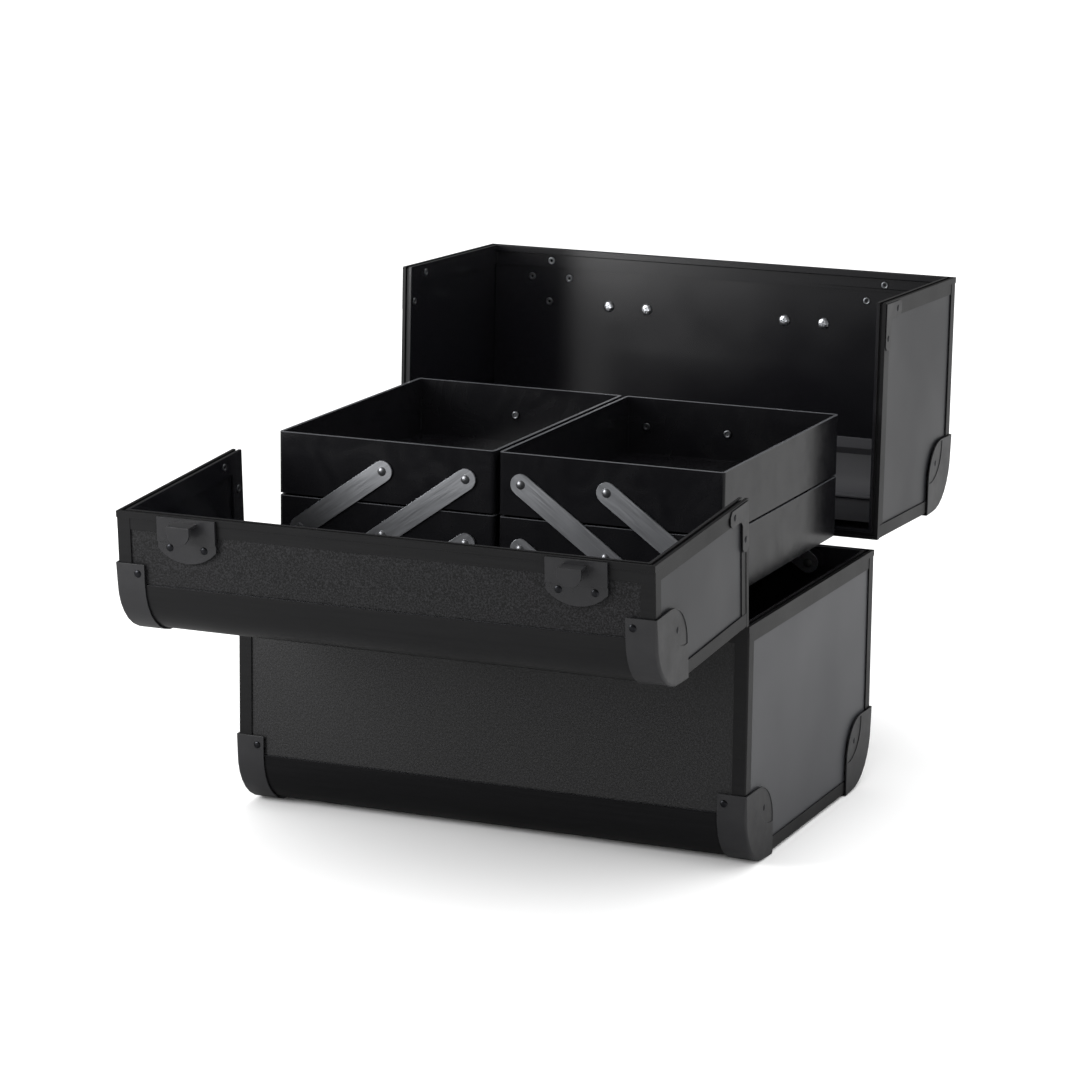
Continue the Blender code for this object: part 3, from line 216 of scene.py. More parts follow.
def blackAnodised(name, axis=None, walls=(), low=False):
    # axis is the centre line of a rounded edge, whose hollow side is drawn paler; walls are the
    # box's outer faces, as (outward direction, distance), and a rim's leg behind all of them
    # is polished like the panels' inner faces
    look = anodisedLook
    material, tree = startMaterial(name)
    where = addNode(tree, "ShaderNodeTexCoord").outputs["Object"]
    stretched = addNode(
        tree, "ShaderNodeVectorMath", {"operation": "MULTIPLY", 1: (look["stretch"], 1.0, 1.0)},
        {0: where}).outputs[0]
    lines = addNode(
        tree, "ShaderNodeTexNoise",
        {"Scale": perMetre(look["lineMm"]), "Detail": 4.0, "Roughness": 0.7},
        {"Vector": stretched}).outputs["Fac"]
    clouds = addNode(
        tree, "ShaderNodeTexNoise", {"Scale": perMetre(look["cloudMm"]), "Detail": 3.0},
        {"Vector": where}).outputs["Fac"]
    tint = addNode(
        tree, "ShaderNodeMix",
        {"data_type": "RGBA", 6: colour(look["dark"]), 7: colour(look["light"])},
        {"Factor": lines})
    mixed = addNode(
        tree, "ShaderNodeMath", {"operation": "MULTIPLY_ADD", 1: look["lineShare"]},
        {0: lines, 2: clouds}).outputs[0]
    rough = addNode(
        tree, "ShaderNodeMapRange",
        {"From Min": 0.4, "From Max": 1.0,
         "To Min": look["roughness"] - look["smoother"], "To Max": look["roughness"] + look["rougher"]},
        {"Value": mixed}).outputs["Result"]
    bump = addNode(
        tree, "ShaderNodeBump", {"Strength": look["bump"], "Distance": look["bumpDepth"]},
        {"Height": lines}).outputs["Normal"]
    tone = tint.outputs[2]
    if axis is not None:
        flat = addNode(
            tree, "ShaderNodeVectorMath", {"operation": "MULTIPLY", 1: (0.0, 1.0, 1.0)},
            {0: where}).outputs[0]
        away = addNode(
            tree, "ShaderNodeVectorMath", {"operation": "DISTANCE", 1: (0.0, axis[0], axis[1])},
            {0: flat}).outputs["Value"]
        hollow = addNode(
            tree, "ShaderNodeMath",
            {"operation": "LESS_THAN", 1: case["noseRadius"] - case["noseSkin"]},
            {0: away}).outputs[0]
        tone = addNode(
            tree, "ShaderNodeMix", {"data_type": "RGBA", 7: colour(look["hollowPaler"])},
            {"Factor": hollow, 6: tone}).outputs[2]
    shader = addNode(
        tree, "ShaderNodeBsdfPrincipled",
        {"Specular IOR Level": look["lowSpecular" if low else "specular"]}, {"Normal": bump})
    if walls:
        inside = None
        for outward, distance in walls:
            reach = addNode(
                tree, "ShaderNodeVectorMath", {"operation": "DOT_PRODUCT", 1: tuple(outward)},
                {0: where}).outputs["Value"]
            behind = addNode(
                tree, "ShaderNodeMath", {"operation": "LESS_THAN", 1: distance - case["legOuter"]},
                {0: reach}).outputs[0]
            inside = behind if inside is None else addNode(
                tree, "ShaderNodeMath", {"operation": "MULTIPLY"}, {0: behind, 1: inside}).outputs[0]
        tone = addNode(
            tree, "ShaderNodeMix", {"data_type": "RGBA", 7: colour(panelLook["inside"])},
            {"Factor": inside, 6: tone}).outputs[2]
        rough = addNode(
            tree, "ShaderNodeMix", {"data_type": "FLOAT", 3: panelLook["innerRoughness"]},
            {0: inside, 2: rough}).outputs[0]
        shine = addNode(
            tree, "ShaderNodeMapRange", {"To Min": look["specular"], "To Max": look["legSpecular"]},
            {"Value": inside}).outputs["Result"]
        tree.links.new(shine, shader.inputs["Specular IOR Level"])
    tree.links.new(tone, shader.inputs["Base Color"])
    tree.links.new(rough, shader.inputs["Roughness"])
    endMaterial(tree, shader)
    return material


# powder-coated steel: an even black coat with a faint orange peel
coatedLook = {
    "dark": "#18181a",
    "light": "#222224",
    "peelMm": 1.2,
    "scuffMm": 18,
    "roughness": 0.36,
    "enamelRoughness": 0.3,      # the smoother enamel of the latches and hinges
    "smoother": 0.05,            # the roughness goes this far below and above
    "rougher": 0.1,
    "bump": 0.08,
    "bumpDepth": 0.0002,
    "ior": 1.5,
}


def powderCoated(name, roughness):
    look = coatedLook
    material, tree = startMaterial(name)
    where = addNode(tree, "ShaderNodeTexCoord").outputs["Object"]
    peel = addNode(
        tree, "ShaderNodeTexNoise", {"Scale": perMetre(look["peelMm"]), "Detail": 2.0},
        {"Vector": where}).outputs["Fac"]
    scuffs = addNode(
        tree, "ShaderNodeTexNoise",
        {"Scale": perMetre(look["scuffMm"]), "Detail": 5.0, "Roughness": 0.7},
        {"Vector": where}).outputs["Fac"]
    tint = addNode(
        tree, "ShaderNodeMix",
        {"data_type": "RGBA", 6: colour(look["dark"]), 7: colour(look["light"])},
        {"Factor": scuffs})
    rough = addNode(
        tree, "ShaderNodeMapRange",
        {"From Min": 0.3, "From Max": 0.75,
         "To Min": roughness - look["smoother"], "To Max": roughness + look["rougher"]},
        {"Value": scuffs}).outputs["Result"]
    bump = addNode(
        tree, "ShaderNodeBump", {"Strength": look["bump"], "Distance": look["bumpDepth"]},
        {"Height": peel}).outputs["Normal"]
    shader = addNode(
        tree, "ShaderNodeBsdfPrincipled", {"IOR": look["ior"]},
        {"Base Color": tint.outputs[2], "Roughness": rough, "Normal": bump})
    endMaterial(tree, shader)
    return material


# polished ABS trays: piano black with the soft smears of handling
trayLook = {
    "black": "#0b0b0d",
    "worn": "#151517",
    # painted highlight on the top of the rim
    "edge": "#4c4d50",
    "rimHighlightDepth": 0.0003,         # depth of the painted highlight along the rim, from its top face down
    "smearMm": 35,
    "fineMm": 1.5,
    "roughness": 0.16,
    "rougher": 0.1,              # the smears add up to this much roughness
    "specular": 0.22,
    "bump": 0.02,
    "bumpDepth": 0.0001,
    "ior": 1.5,
}


def polishedAbs(name, rimHeight):
    # the top of the rim is painted paler as a painted highlight, where its edge catches the light
    look = trayLook
    material, tree = startMaterial(name)
    where = addNode(tree, "ShaderNodeTexCoord").outputs["Object"]
    smears = addNode(
        tree, "ShaderNodeTexNoise",
        {"Scale": perMetre(look["smearMm"]), "Detail": 4.0, "Distortion": 1.5},
        {"Vector": where}).outputs["Fac"]
    fine = addNode(
        tree, "ShaderNodeTexNoise", {"Scale": perMetre(look["fineMm"]), "Detail": 1.0},
        {"Vector": where}).outputs["Fac"]
    tint = addNode(
        tree, "ShaderNodeMix",
        {"data_type": "RGBA", 6: colour(look["black"]), 7: colour(look["worn"])},
        {"Factor": smears})
    rough = addNode(
        tree, "ShaderNodeMapRange",
        {"From Min": 0.35, "From Max": 0.7,
         "To Min": look["roughness"], "To Max": look["roughness"] + look["rougher"]},
        {"Value": smears}).outputs["Result"]
    bump = addNode(
        tree, "ShaderNodeBump", {"Strength": look["bump"], "Distance": look["bumpDepth"]},
        {"Height": fine}).outputs["Normal"]
    up = addNode(tree, "ShaderNodeSeparateXYZ", links={0: where}).outputs[2]
    # painted highlight: the top of the rim drawn paler
    paintedRimHighlight = addNode(
        tree, "ShaderNodeMath",
        {"operation": "GREATER_THAN", 1: rimHeight - look["rimHighlightDepth"]}, {0: up}).outputs[0]
    tone = addNode(
        tree, "ShaderNodeMix", {"data_type": "RGBA", 7: colour(look["edge"])},
        {"Factor": paintedRimHighlight, 6: tint.outputs[2]})
    shader = addNode(
        tree, "ShaderNodeBsdfPrincipled",
        {"IOR": look["ior"], "Specular IOR Level": look["specular"]},
        {"Base Color": tone.outputs[2], "Roughness": rough, "Normal": bump})
    endMaterial(tree, shader)
    return material


# satin nickel on steel strip, brushed along its length, with darker nickel rivets through it,
# so that the eye reads bright bars with separate pivots
armLook = {
    "strip": "#c6c8cc",
    "stripDark": "#9fa1a5",
    "rivet": "#7c7d80",
    "brushMm": 0.7,             # real brushing is finer; drawn at what shows
    "stretch": 0.03,            # the pattern is drawn out along the bar by the inverse of this
    "roughness": 0.34,
    "roughSpread": 0.06,
    "metallic": 0.94,           # a thin lacquer over the plating scatters a little
    "bump": 0.06,
    "bumpDepth": 0.0001,
    "innerFace": 0.1173,        # the strip lies between these distances from the middle of the case
    "outerFace": 0.1188,
    "faceMargin": 0.00005,      # beyond them by more than this it is rivet
    "endRadius": 0.0075,        # the ends of a bar are half-round about its end pivots
}


def satinNickelStrip(name, along):
    look = armLook
    material, tree = startMaterial(name)
    where = addNode(tree, "ShaderNodeTexCoord").outputs["Object"]
    across = (-along[2], 0.0, along[0])
    lengthwise = addNode(
        tree, "ShaderNodeVectorMath", {"operation": "DOT_PRODUCT", 1: along}, {0: where}).outputs["Value"]
    crosswise = addNode(
        tree, "ShaderNodeVectorMath", {"operation": "DOT_PRODUCT", 1: across}, {0: where}).outputs["Value"]
    split = addNode(tree, "ShaderNodeSeparateXYZ", links={0: where})
    stretched = addNode(
        tree, "ShaderNodeMath", {"operation": "MULTIPLY", 1: look["stretch"]},
        {0: lengthwise}).outputs[0]
    grid = addNode(
        tree, "ShaderNodeCombineXYZ",
        links={0: stretched, 1: crosswise, 2: split.outputs[1]}).outputs[0]
    brushed = addNode(
        tree, "ShaderNodeTexNoise",
        {"Scale": perMetre(look["brushMm"]), "Detail": 3.0, "Roughness": 0.6},
        {"Vector": grid}).outputs["Fac"]
    reach = addNode(tree, "ShaderNodeMath", {"operation": "ABSOLUTE"}, {0: split.outputs[1]}).outputs[0]
    middle = (look["innerFace"] + look["outerFace"]) / 2
    half = (look["outerFace"] - look["innerFace"]) / 2 + look["faceMargin"]
    off = addNode(tree, "ShaderNodeMath", {"operation": "SUBTRACT", 1: middle}, {0: reach}).outputs[0]
    off = addNode(tree, "ShaderNodeMath", {"operation": "ABSOLUTE"}, {0: off}).outputs[0]
    rivet = addNode(tree, "ShaderNodeMath", {"operation": "GREATER_THAN", 1: half}, {0: off}).outputs[0]
    strip = addNode(
        tree, "ShaderNodeMix",
        {"data_type": "RGBA", 6: colour(look["stripDark"]), 7: colour(look["strip"])},
        {"Factor": brushed})
    tint = addNode(
        tree, "ShaderNodeMix", {"data_type": "RGBA", 7: colour(look["rivet"])},
        {"Factor": rivet, 6: strip.outputs[2]})
    rough = addNode(
        tree, "ShaderNodeMapRange",
        {"From Min": 0.3, "From Max": 0.7, "To Min": look["roughness"] - look["roughSpread"],
         "To Max": look["roughness"] + look["roughSpread"]},
        {"Value": brushed}).outputs["Result"]
    bump = addNode(
        tree, "ShaderNodeBump", {"Strength": look["bump"], "Distance": look["bumpDepth"]},
        {"Height": brushed}).outputs["Normal"]
    shader = addNode(
        tree, "ShaderNodeBsdfPrincipled", {"Metallic": look["metallic"]},
        {"Base Color": tint.outputs[2], "Roughness": rough, "Normal": bump})
    endMaterial(tree, shader)
    return material


# small steel fasteners: plated or blackened, and a little uneven, as barrel plating leaves them
platingLook = {
    # light, dark, roughness
    "blackenedSteelRivet": ("#3c3d40", "#242427", 0.3),
    "nickelPlatedRivet": ("#a2a4a8", "#787a7e", 0.3),
    "zincPlatedScrew": ("#d8dade", "#b4b6ba", 0.24),
}
plating = {"bloomMm": 1.6, "smoother": 0.06, "rougher": 0.1}


def platedSteel(name):
    light, dark, roughness = platingLook[name]
    material, tree = startMaterial(name)
    where = addNode(tree, "ShaderNodeTexCoord").outputs["Object"]
    bloom = addNode(
        tree, "ShaderNodeTexNoise", {"Scale": perMetre(plating["bloomMm"]), "Detail": 3.0},
        {"Vector": where}).outputs["Fac"]
    tint = addNode(
        tree, "ShaderNodeMix", {"data_type": "RGBA", 6: colour(dark), 7: colour(light)},
        {"Factor": bloom})
    rough = addNode(
        tree, "ShaderNodeMapRange",
        {"To Min": roughness - plating["smoother"], "To Max": roughness + plating["rougher"]},
        {"Value": bloom}).outputs["Result"]
    shader = addNode(
        tree, "ShaderNodeBsdfPrincipled", {"Metallic": 1.0},
        {"Base Color": tint.outputs[2], "Roughness": rough})
    endMaterial(tree, shader)
    return material


# moulded nylon handle: matt, with a fine spark-eroded grain
nylonLook = {
    "dark": "#161617",
    "light": "#222224",
    "grainMm": 0.9,
    "handMm": 25,                # patches that hands have polished
    "polished": 0.42,            # roughness there, and where the grain is fresh
    "fresh": 0.62,
    "bump": 0.15,
    "bumpDepth": 0.0002,
    "ior": 1.5,
}


def mouldedNylon(name):
    look = nylonLook
    material, tree = startMaterial(name)
    where = addNode(tree, "ShaderNodeTexCoord").outputs["Object"]
    grain = addNode(
        tree, "ShaderNodeTexNoise", {"Scale": perMetre(look["grainMm"]), "Detail": 2.0},
        {"Vector": where}).outputs["Fac"]
    hands = addNode(
        tree, "ShaderNodeTexNoise", {"Scale": perMetre(look["handMm"]), "Detail": 3.0},
        {"Vector": where}).outputs["Fac"]
    tint = addNode(
        tree, "ShaderNodeMix",
        {"data_type": "RGBA", 6: colour(look["dark"]), 7: colour(look["light"])},
        {"Factor": grain})
    rough = addNode(
        tree, "ShaderNodeMapRange", {"To Min": look["polished"], "To Max": look["fresh"]},
        {"Value": hands}).outputs["Result"]
    bump = addNode(
        tree, "ShaderNodeBump", {"Strength": look["bump"], "Distance": look["bumpDepth"]},
        {"Height": grain}).outputs["Normal"]
    shader = addNode(
        tree, "ShaderNodeBsdfPrincipled", {"IOR": look["ior"]},
        {"Base Color": tint.outputs[2], "Roughness": rough, "Normal": bump})
    endMaterial(tree, shader)
    return material


coatedSteel = powderCoated("powderCoatedSteel", coatedLook["roughness"])
latchSteel = powderCoated("blackEnamelledSteel", coatedLook["enamelRoughness"])
handleNylon = mouldedNylon("mouldedBlackNylon")
blackRivet = platedSteel("blackenedSteelRivet")
nickelRivet = platedSteel("nickelPlatedRivet")
zincScrew = platedSteel("zincPlatedScrew")
print("materials made")


# every carried-over part takes its finish, and a small radius on its sharp edges
softening = {
    "weld": 0.00002,             # corners nearer than this become one
    "flat": 0.6,                 # faces within this many degrees join, which leaves real edges only
    "sharp": 38.0,               # an edge turning by more degrees than this gets a radius
    "segments": 2,
    "weight": 80,                # how much the larger face sets the shading across a radius
}
smoothGroup = bpy.data.node_groups.new("weldAndSmooth", "GeometryNodeTree")
smoothGroup.interface.new_socket("Geometry", in_out="INPUT", socket_type="NodeSocketGeometry")
smoothGroup.interface.new_socket("Geometry", in_out="OUTPUT", socket_type="NodeSocketGeometry")
groupIn = addNode(smoothGroup, "NodeGroupInput")
welded = addNode(smoothGroup, "GeometryNodeMergeByDistance", {"Distance": softening["weld"]},
                 {0: groupIn.outputs[0]})
smoothed = addNode(smoothGroup, "GeometryNodeSetShadeSmooth", {}, {0: welded.outputs[0]})
addNode(smoothGroup, "NodeGroupOutput", {}, {0: smoothed.outputs[0]})


def softenEdges(part, radius):
    weld = part.modifiers.new("weldAndSmooth", "NODES")
    weld.node_group = smoothGroup
    flat = part.modifiers.new("flatFaces", "DECIMATE")
    flat.decimate_type = "DISSOLVE"
    flat.angle_limit = math.radians(softening["flat"])
    bevel = part.modifiers.new("edgeRadius", "BEVEL")
    bevel.width = radius
    bevel.segments = softening["segments"]
    bevel.limit_method = "ANGLE"
    bevel.angle_limit = math.radians(softening["sharp"])
    bevel.use_clamp_overlap = True
    normals = part.modifiers.new("faceNormals", "WEIGHTED_NORMAL")
    normals.weight = softening["weight"]
    normals.keep_sharp = False


def noseAxis(nodeName):
    # centre line (y, z) of the rounded edge, in the frame of the open case
    r = case["noseRadius"]
    if nodeName.startswith("base"):
        side = -1 if "front" in nodeName else 1
        return side * (case["halfDepth"] - r), case["baseBottom"] + r
    lid = nodeName.split("_")[0]
    inward = 1 if lid == "front" else -1
    centre = lids[lid]["place"] @ Vector((0, lids[lid]["wall"] + inward * r, case["lidTop"] - r))
    return centre.y, centre.z


def outerWalls(nodeName):
    # the outer faces of a box, as (outward direction, distance from the middle of the case)
    walls = [(Vector((sign, 0, 0)), case["halfLength"]) for sign in (-1, 1)]
    if nodeName.startswith("base"):
        return walls + [(Vector((0, sign, 0)), case["halfDepth"]) for sign in (-1, 1)]
    lid = nodeName.split("_")[0]
    place, outY = lids[lid]["place"], -1 if lid == "front" else 1
    for outward, point in (((0, outY, 0), (0, lids[lid]["wall"], 0)),
                           ((0, 0, 1), (0, 0, case["lidTop"]))):
        outward = place.to_3x3() @ Vector(outward)
        walls.append((outward, outward.dot(place @ Vector(point))))
    return walls


def give(part, material):
    part.data.materials.clear()
    part.data.materials.append(material)


edgeRadius = {
    "frame": 0.00035, "panel": 0.0003, "bullnose": 0.0003, "cap": 0.0003, "tray": 0.0004,
    "arm": 0.00025, "hinge": 0.0002, "latch": 0.00025, "handle": 0.0012,
}
# textured panels: outward direction, the lid they lie in, if any
panelSides = {
    "base_front_panel": ((0, -1, 0), None),
    "base_back_panel": ((0, 1, 0), None),
    "base_bottom_panel": ((0, 0, -1), None),
    "front_lid_top_panel": ((0, 0, 1), frontLid),
    "front_lid_wall_panel": ((0, -1, 0), frontLid),
    "back_lid_top_panel": ((0, 0, 1), backLid),
    "back_lid_wall_panel": ((0, 1, 0), backLid),
}
for nodeName, part in nodes.items():
    kind = nodeName.split("_")[-1]
    if nodeName in panelSides:
        outward, place = panelSides[nodeName]
        outward = Vector(outward) if place is None else (place.to_3x3() @ Vector(outward))
        low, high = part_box(nodeName)
        middle = (low + high) / 2
        give(part, laminatePanel("laminate_" + nodeName, tuple(outward), middle, True))
        softenEdges(part, edgeRadius["panel"])
    elif nodeName.endswith("end_panel"):
        side = -1 if "left_end" in nodeName else 1
        low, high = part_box(nodeName)
        middle = (low + high) / 2
        # one sheet in two tones: the base's ends painted lighter, the lids' ends painted darker, as painted
        # light and shade
        satin = "satin" if nodeName.startswith("base") else "lidSatinPaintedShade"
        give(part, laminatePanel("laminate_" + nodeName, (side, 0, 0), middle, False, satin))
        softenEdges(part, edgeRadius["panel"])
    elif kind == "frame":
        give(part, blackAnodised("blackAnodised_" + nodeName, walls=outerWalls(nodeName)))
        softenEdges(part, edgeRadius[kind])
    elif kind == "bullnose":
        low = nodeName.startswith("base")
        give(part, blackAnodised("blackAnodised_" + nodeName, noseAxis(nodeName), low=low))
        softenEdges(part, edgeRadius[kind])
    elif kind == "cap":
        give(part, coatedSteel)
        softenEdges(part, edgeRadius["cap"])
    elif kind == "tray":
        give(part, polishedAbs("polishedAbs_" + nodeName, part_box(nodeName)[1].z))
        softenEdges(part, edgeRadius["tray"])
    elif kind == "arm":
        low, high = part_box(nodeName)
        lean = 1 if nodeName.startswith("left") else -1
        ends = 2 * armLook["endRadius"]
        along = Vector((high.x - low.x - ends, 0, lean * (high.z - low.z - ends))).normalized()
        give(part, satinNickelStrip("satinNickel_" + nodeName, tuple(along)))
        softenEdges(part, edgeRadius["arm"])
    elif kind == "leaf":
        give(part, latchSteel)
        softenEdges(part, edgeRadius["hinge"])
    elif kind == "handle":
        give(part, handleNylon)
        softenEdges(part, edgeRadius["handle"])
    else:
        give(part, latchSteel)
        softenEdges(part, edgeRadius["latch"])
print("finishes given to", len(nodes), "parts")


# pieces made here; angles in degrees
pieceLook = {
    "turnSteps": 24,
    "weld": 1e-7,                # metres
    "sharp": 35.0,
    "screwSharp": 28.0,
    "bevelSharp": 40.0,
    "bevelSegments": 2,
}


def turned(profile):
    # spins (radius, height) points about the local z axis
    mesh = bmesh.new()
    points = [mesh.verts.new((radius, 0, height)) for radius, height in profile]
    lines = [mesh.edges.new(pair) for pair in zip(points, points[1:])]
    bmesh.ops.spin(mesh, geom=points + lines, cent=(0, 0, 0), axis=(0, 0, 1),
                   angle=2 * math.pi, steps=pieceLook["turnSteps"], use_merge=True)
    bmesh.ops.remove_doubles(mesh, verts=mesh.verts, dist=pieceLook["weld"])
    return mesh


def plate(outline, thickness):
    # a flat sheet on the local x-y plane, thickened upwards
    mesh = bmesh.new()
    face = mesh.faces.new([mesh.verts.new((u, v, 0)) for u, v in outline])
    grown = bmesh.ops.extrude_face_region(mesh, geom=[face])
    top = [item for item in grown["geom"] if isinstance(item, bmesh.types.BMVert)]
    bmesh.ops.translate(mesh, verts=top, vec=(0, 0, thickness))
    return mesh


def gathered(makeOne, places):
    # one mesh with a copy at each place
    whole = bmesh.new()
    for place in places:
        one = makeOne()
        one.transform(place)
        data = bpy.data.meshes.new("one")
        one.to_mesh(data)
        one.free()
        whole.from_mesh(data)
        bpy.data.meshes.remove(data)
    return whole


def addPiece(name, mesh, material, body, sharp=pieceLook["sharp"], bevel=0.0):
    bmesh.ops.recalc_face_normals(mesh, faces=mesh.faces)
    data = bpy.data.meshes.new(name)
    mesh.to_mesh(data)
    mesh.free()
    data.materials.append(material)
    data.shade_smooth()
    data.set_sharp_from_angle(angle=math.radians(sharp))
    piece = bpy.data.objects.new(name, data)
    scene.collection.objects.link(piece)
    if bevel:
        edge = piece.modifiers.new("edgeRadius", "BEVEL")
        edge.width = bevel
        edge.segments = pieceLook["bevelSegments"]
        edge.limit_method = "ANGLE"
        edge.angle_limit = math.radians(pieceLook["bevelSharp"])
    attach(piece, body)
    return piece


def facing(point, direction):
    # puts local z along direction at that point
    turn = Vector(direction).to_track_quat("Z", "Y").to_matrix().to_4x4()
    return Matrix.Translation(point) @ turn


# fasteners, in metres
fasteners = {
    "sunk": 0.0003,              # how deep each goes into the sheet that it holds
    "headRadius": 0.0026,
    "headHeight": 0.0009,
    "headBand": 0.15,            # straight edge under the dome, as a share of the height
    "domeStart": 15,             # degrees
    "domeSteps": 6,
    "domeShare": 0.985,          # the dome is this much narrower than the edge
    "ringOuter": 0.0029,
    "ringInner": 0.0012,
    "ringHeight": 0.0007,
    "ringSteps": 6,
    "ringLip": 0.0001,           # the roll starts this far above the sheet
    "boreShare": 0.8,            # bottom of the hollow, as a share of the inner radius
    "screwRadius": 0.0044,
    "screwHeight": 0.0017,
    # pan head from its edge to its middle, as shares of the radius and of the height
    "screwProfile": ((1, 0.35), (0.93, 0.68), (0.72, 0.92), (0.4, 1), (0, 1)),
    "screwSlot": 0.0010,
    "slotLength": 1.15,          # as a share of the radius
    "slotDepth": 1.2,            # height of the tool that cuts it, as a share of the head's
}


def domedHead():
    r, h, sunk = fasteners["headRadius"], fasteners["headHeight"], fasteners["sunk"]
    start, steps = fasteners["domeStart"], fasteners["domeSteps"]
    points = [(0, -sunk), (r, -sunk), (r, fasteners["headBand"] * h)]
    for step in range(1, steps):
        angle = math.radians(start + (90 - start) * step / steps)
        wide = r * math.cos(angle) / math.cos(math.radians(start)) * fasteners["domeShare"]
        points.append((wide, h * math.sin(angle)))
    points.append((0, h))
    return turned(points)


def rolledEnd():
    # hollow rivet end, rolled back over the sheet
    outer, inner, h = fasteners["ringOuter"], fasteners["ringInner"], fasteners["ringHeight"]
    sunk, lip, steps = fasteners["sunk"], fasteners["ringLip"], fasteners["ringSteps"]
    centre, half = (outer + inner) / 2, (outer - inner) / 2
    points = [(0, -sunk), (outer, -sunk), (outer, 0)]
    for step in range(steps + 1):
        angle = math.radians(180 * step / steps)
        points.append((centre + half * math.cos(angle), lip + (h - lip) * math.sin(angle)))
    points += [(inner * fasteners["boreShare"], -lip), (0, -lip)]
    return turned(points)


def crossScrew():
    # pan head with a cross recess
    r, h, sunk = fasteners["screwRadius"], fasteners["screwHeight"], fasteners["sunk"]
    head = [(0, -sunk), (r, -sunk)] + [(a * r, b * h) for a, b in fasteners["screwProfile"]]
    turns = [Matrix(), Matrix.Rotation(math.pi / 2, 4, "Z")]
    parts = []
    for mesh in (turned(head), gathered(crossBar, turns)):
        bmesh.ops.recalc_face_normals(mesh, faces=mesh.faces)
        data = bpy.data.meshes.new("screwBlank")
        mesh.to_mesh(data)
        mesh.free()
        parts.append(bpy.data.objects.new("screwBlank", data))
        scene.collection.objects.link(parts[-1])
    blank, tool = parts
    recess = blank.modifiers.new("recess", "BOOLEAN")
    recess.operation = "DIFFERENCE"
    recess.solver = "EXACT"
    recess.use_self = True
    recess.object = tool
    bpy.context.view_layer.update()
    made = bmesh.new()
    made.from_mesh(blank.evaluated_get(bpy.context.evaluated_depsgraph_get()).to_mesh())
    for item in parts:
        data = item.data
        bpy.data.objects.remove(item)
        bpy.data.meshes.remove(data)
    return made


def crossBar():
    r, h = fasteners["screwRadius"], fasteners["screwHeight"]
    bar = bmesh.new()
    size = Matrix.Diagonal(
        (fasteners["slotLength"] * r, fasteners["screwSlot"], fasteners["slotDepth"] * h, 1.0))
    bmesh.ops.create_cube(bar, size=1.0, matrix=Matrix.Translation((0, 0, h)) @ size)
    return bar


def onLid(lid, x, y, z, direction):
    # as facing, with the point and the direction given on the shut lid
    place = lids[lid]["place"]
    return facing(place @ Vector((x, y, z)), place.to_3x3() @ Vector(direction))


lidTop = case["lidTop"]
insideTop = lidTop - case["panelInner"]
latch = {
    "fromCentre": 0.1375,
    # across from the latch's middle, and back from the edge where the lids meet
    "plateRivets": ((0.0011, 0.0092), (-0.0156, 0.0226), (0.0156, 0.0223), (-0.0008, 0.0414)),
    "catchRivet": (0.0125, 0.0210),
    "plateTop": 0.0015,          # outer face of the pressed plates above the lid
}
for side, sign in (("left", -1), ("right", 1)):
    centre = sign * latch["fromCentre"]
    outs, ins = [], []
    for across, back in latch["plateRivets"]:
        spot = (centre + sign * -across, case["backMeeting"] + back)
        outs.append(onLid("back", *spot, lidTop + latch["plateTop"], (0, 0, 1)))
        deep = case["legInner"] if back < case["legLength"] else case["panelInner"]
        ins.append(onLid("back", *spot, lidTop - deep, (0, 0, -1)))
    addPiece(side + "LatchRivets", gathered(domedHead, outs), blackRivet, "back_lid")
    addPiece(side + "LatchRivetEnds", gathered(rolledEnd, ins), nickelRivet, "back_lid")
    outs, ins = [], []
    across, back = latch["catchRivet"]
    for hand in (-1, 1):
        spot = (centre + hand * across, case["frontMeeting"] - back)
        outs.append(onLid("front", *spot, lidTop + latch["plateTop"], (0, 0, 1)))
        ins.append(onLid("front", *spot, insideTop, (0, 0, -1)))
    addPiece(side + "CatchRivets", gathered(domedHead, outs), blackRivet, "front_lid")
    addPiece(side + "CatchRivetEnds", gathered(rolledEnd, ins), nickelRivet, "front_lid")

handleFixing = {
    "bracketCentre": 0.0724,
    "across": 0.0158,            # from the bracket's middle to each of its two rivets
    "fromEdge": 0.042,
    "bracketTop": 0.0018,        # outer face of the bracket's foot above the lid
}
for side, sign in (("left", -1), ("right", 1)):
    outs, ins = [], []
    for hand in (-1, 1):
        spot = (sign * handleFixing["bracketCentre"] + hand * handleFixing["across"],
                case["backMeeting"] + handleFixing["fromEdge"])
        outs.append(onLid("back", *spot, lidTop + handleFixing["bracketTop"], (0, 0, 1)))
        ins.append(onLid("back", *spot, insideTop, (0, 0, -1)))
    addPiece(side + "HandleRivets", gathered(domedHead, outs), blackRivet, "back_lid")
    addPiece(side + "HandleScrews", gathered(crossScrew, ins), zincScrew, "back_lid",
             sharp=pieceLook["screwSharp"])
print("latch and handle fixings placed")

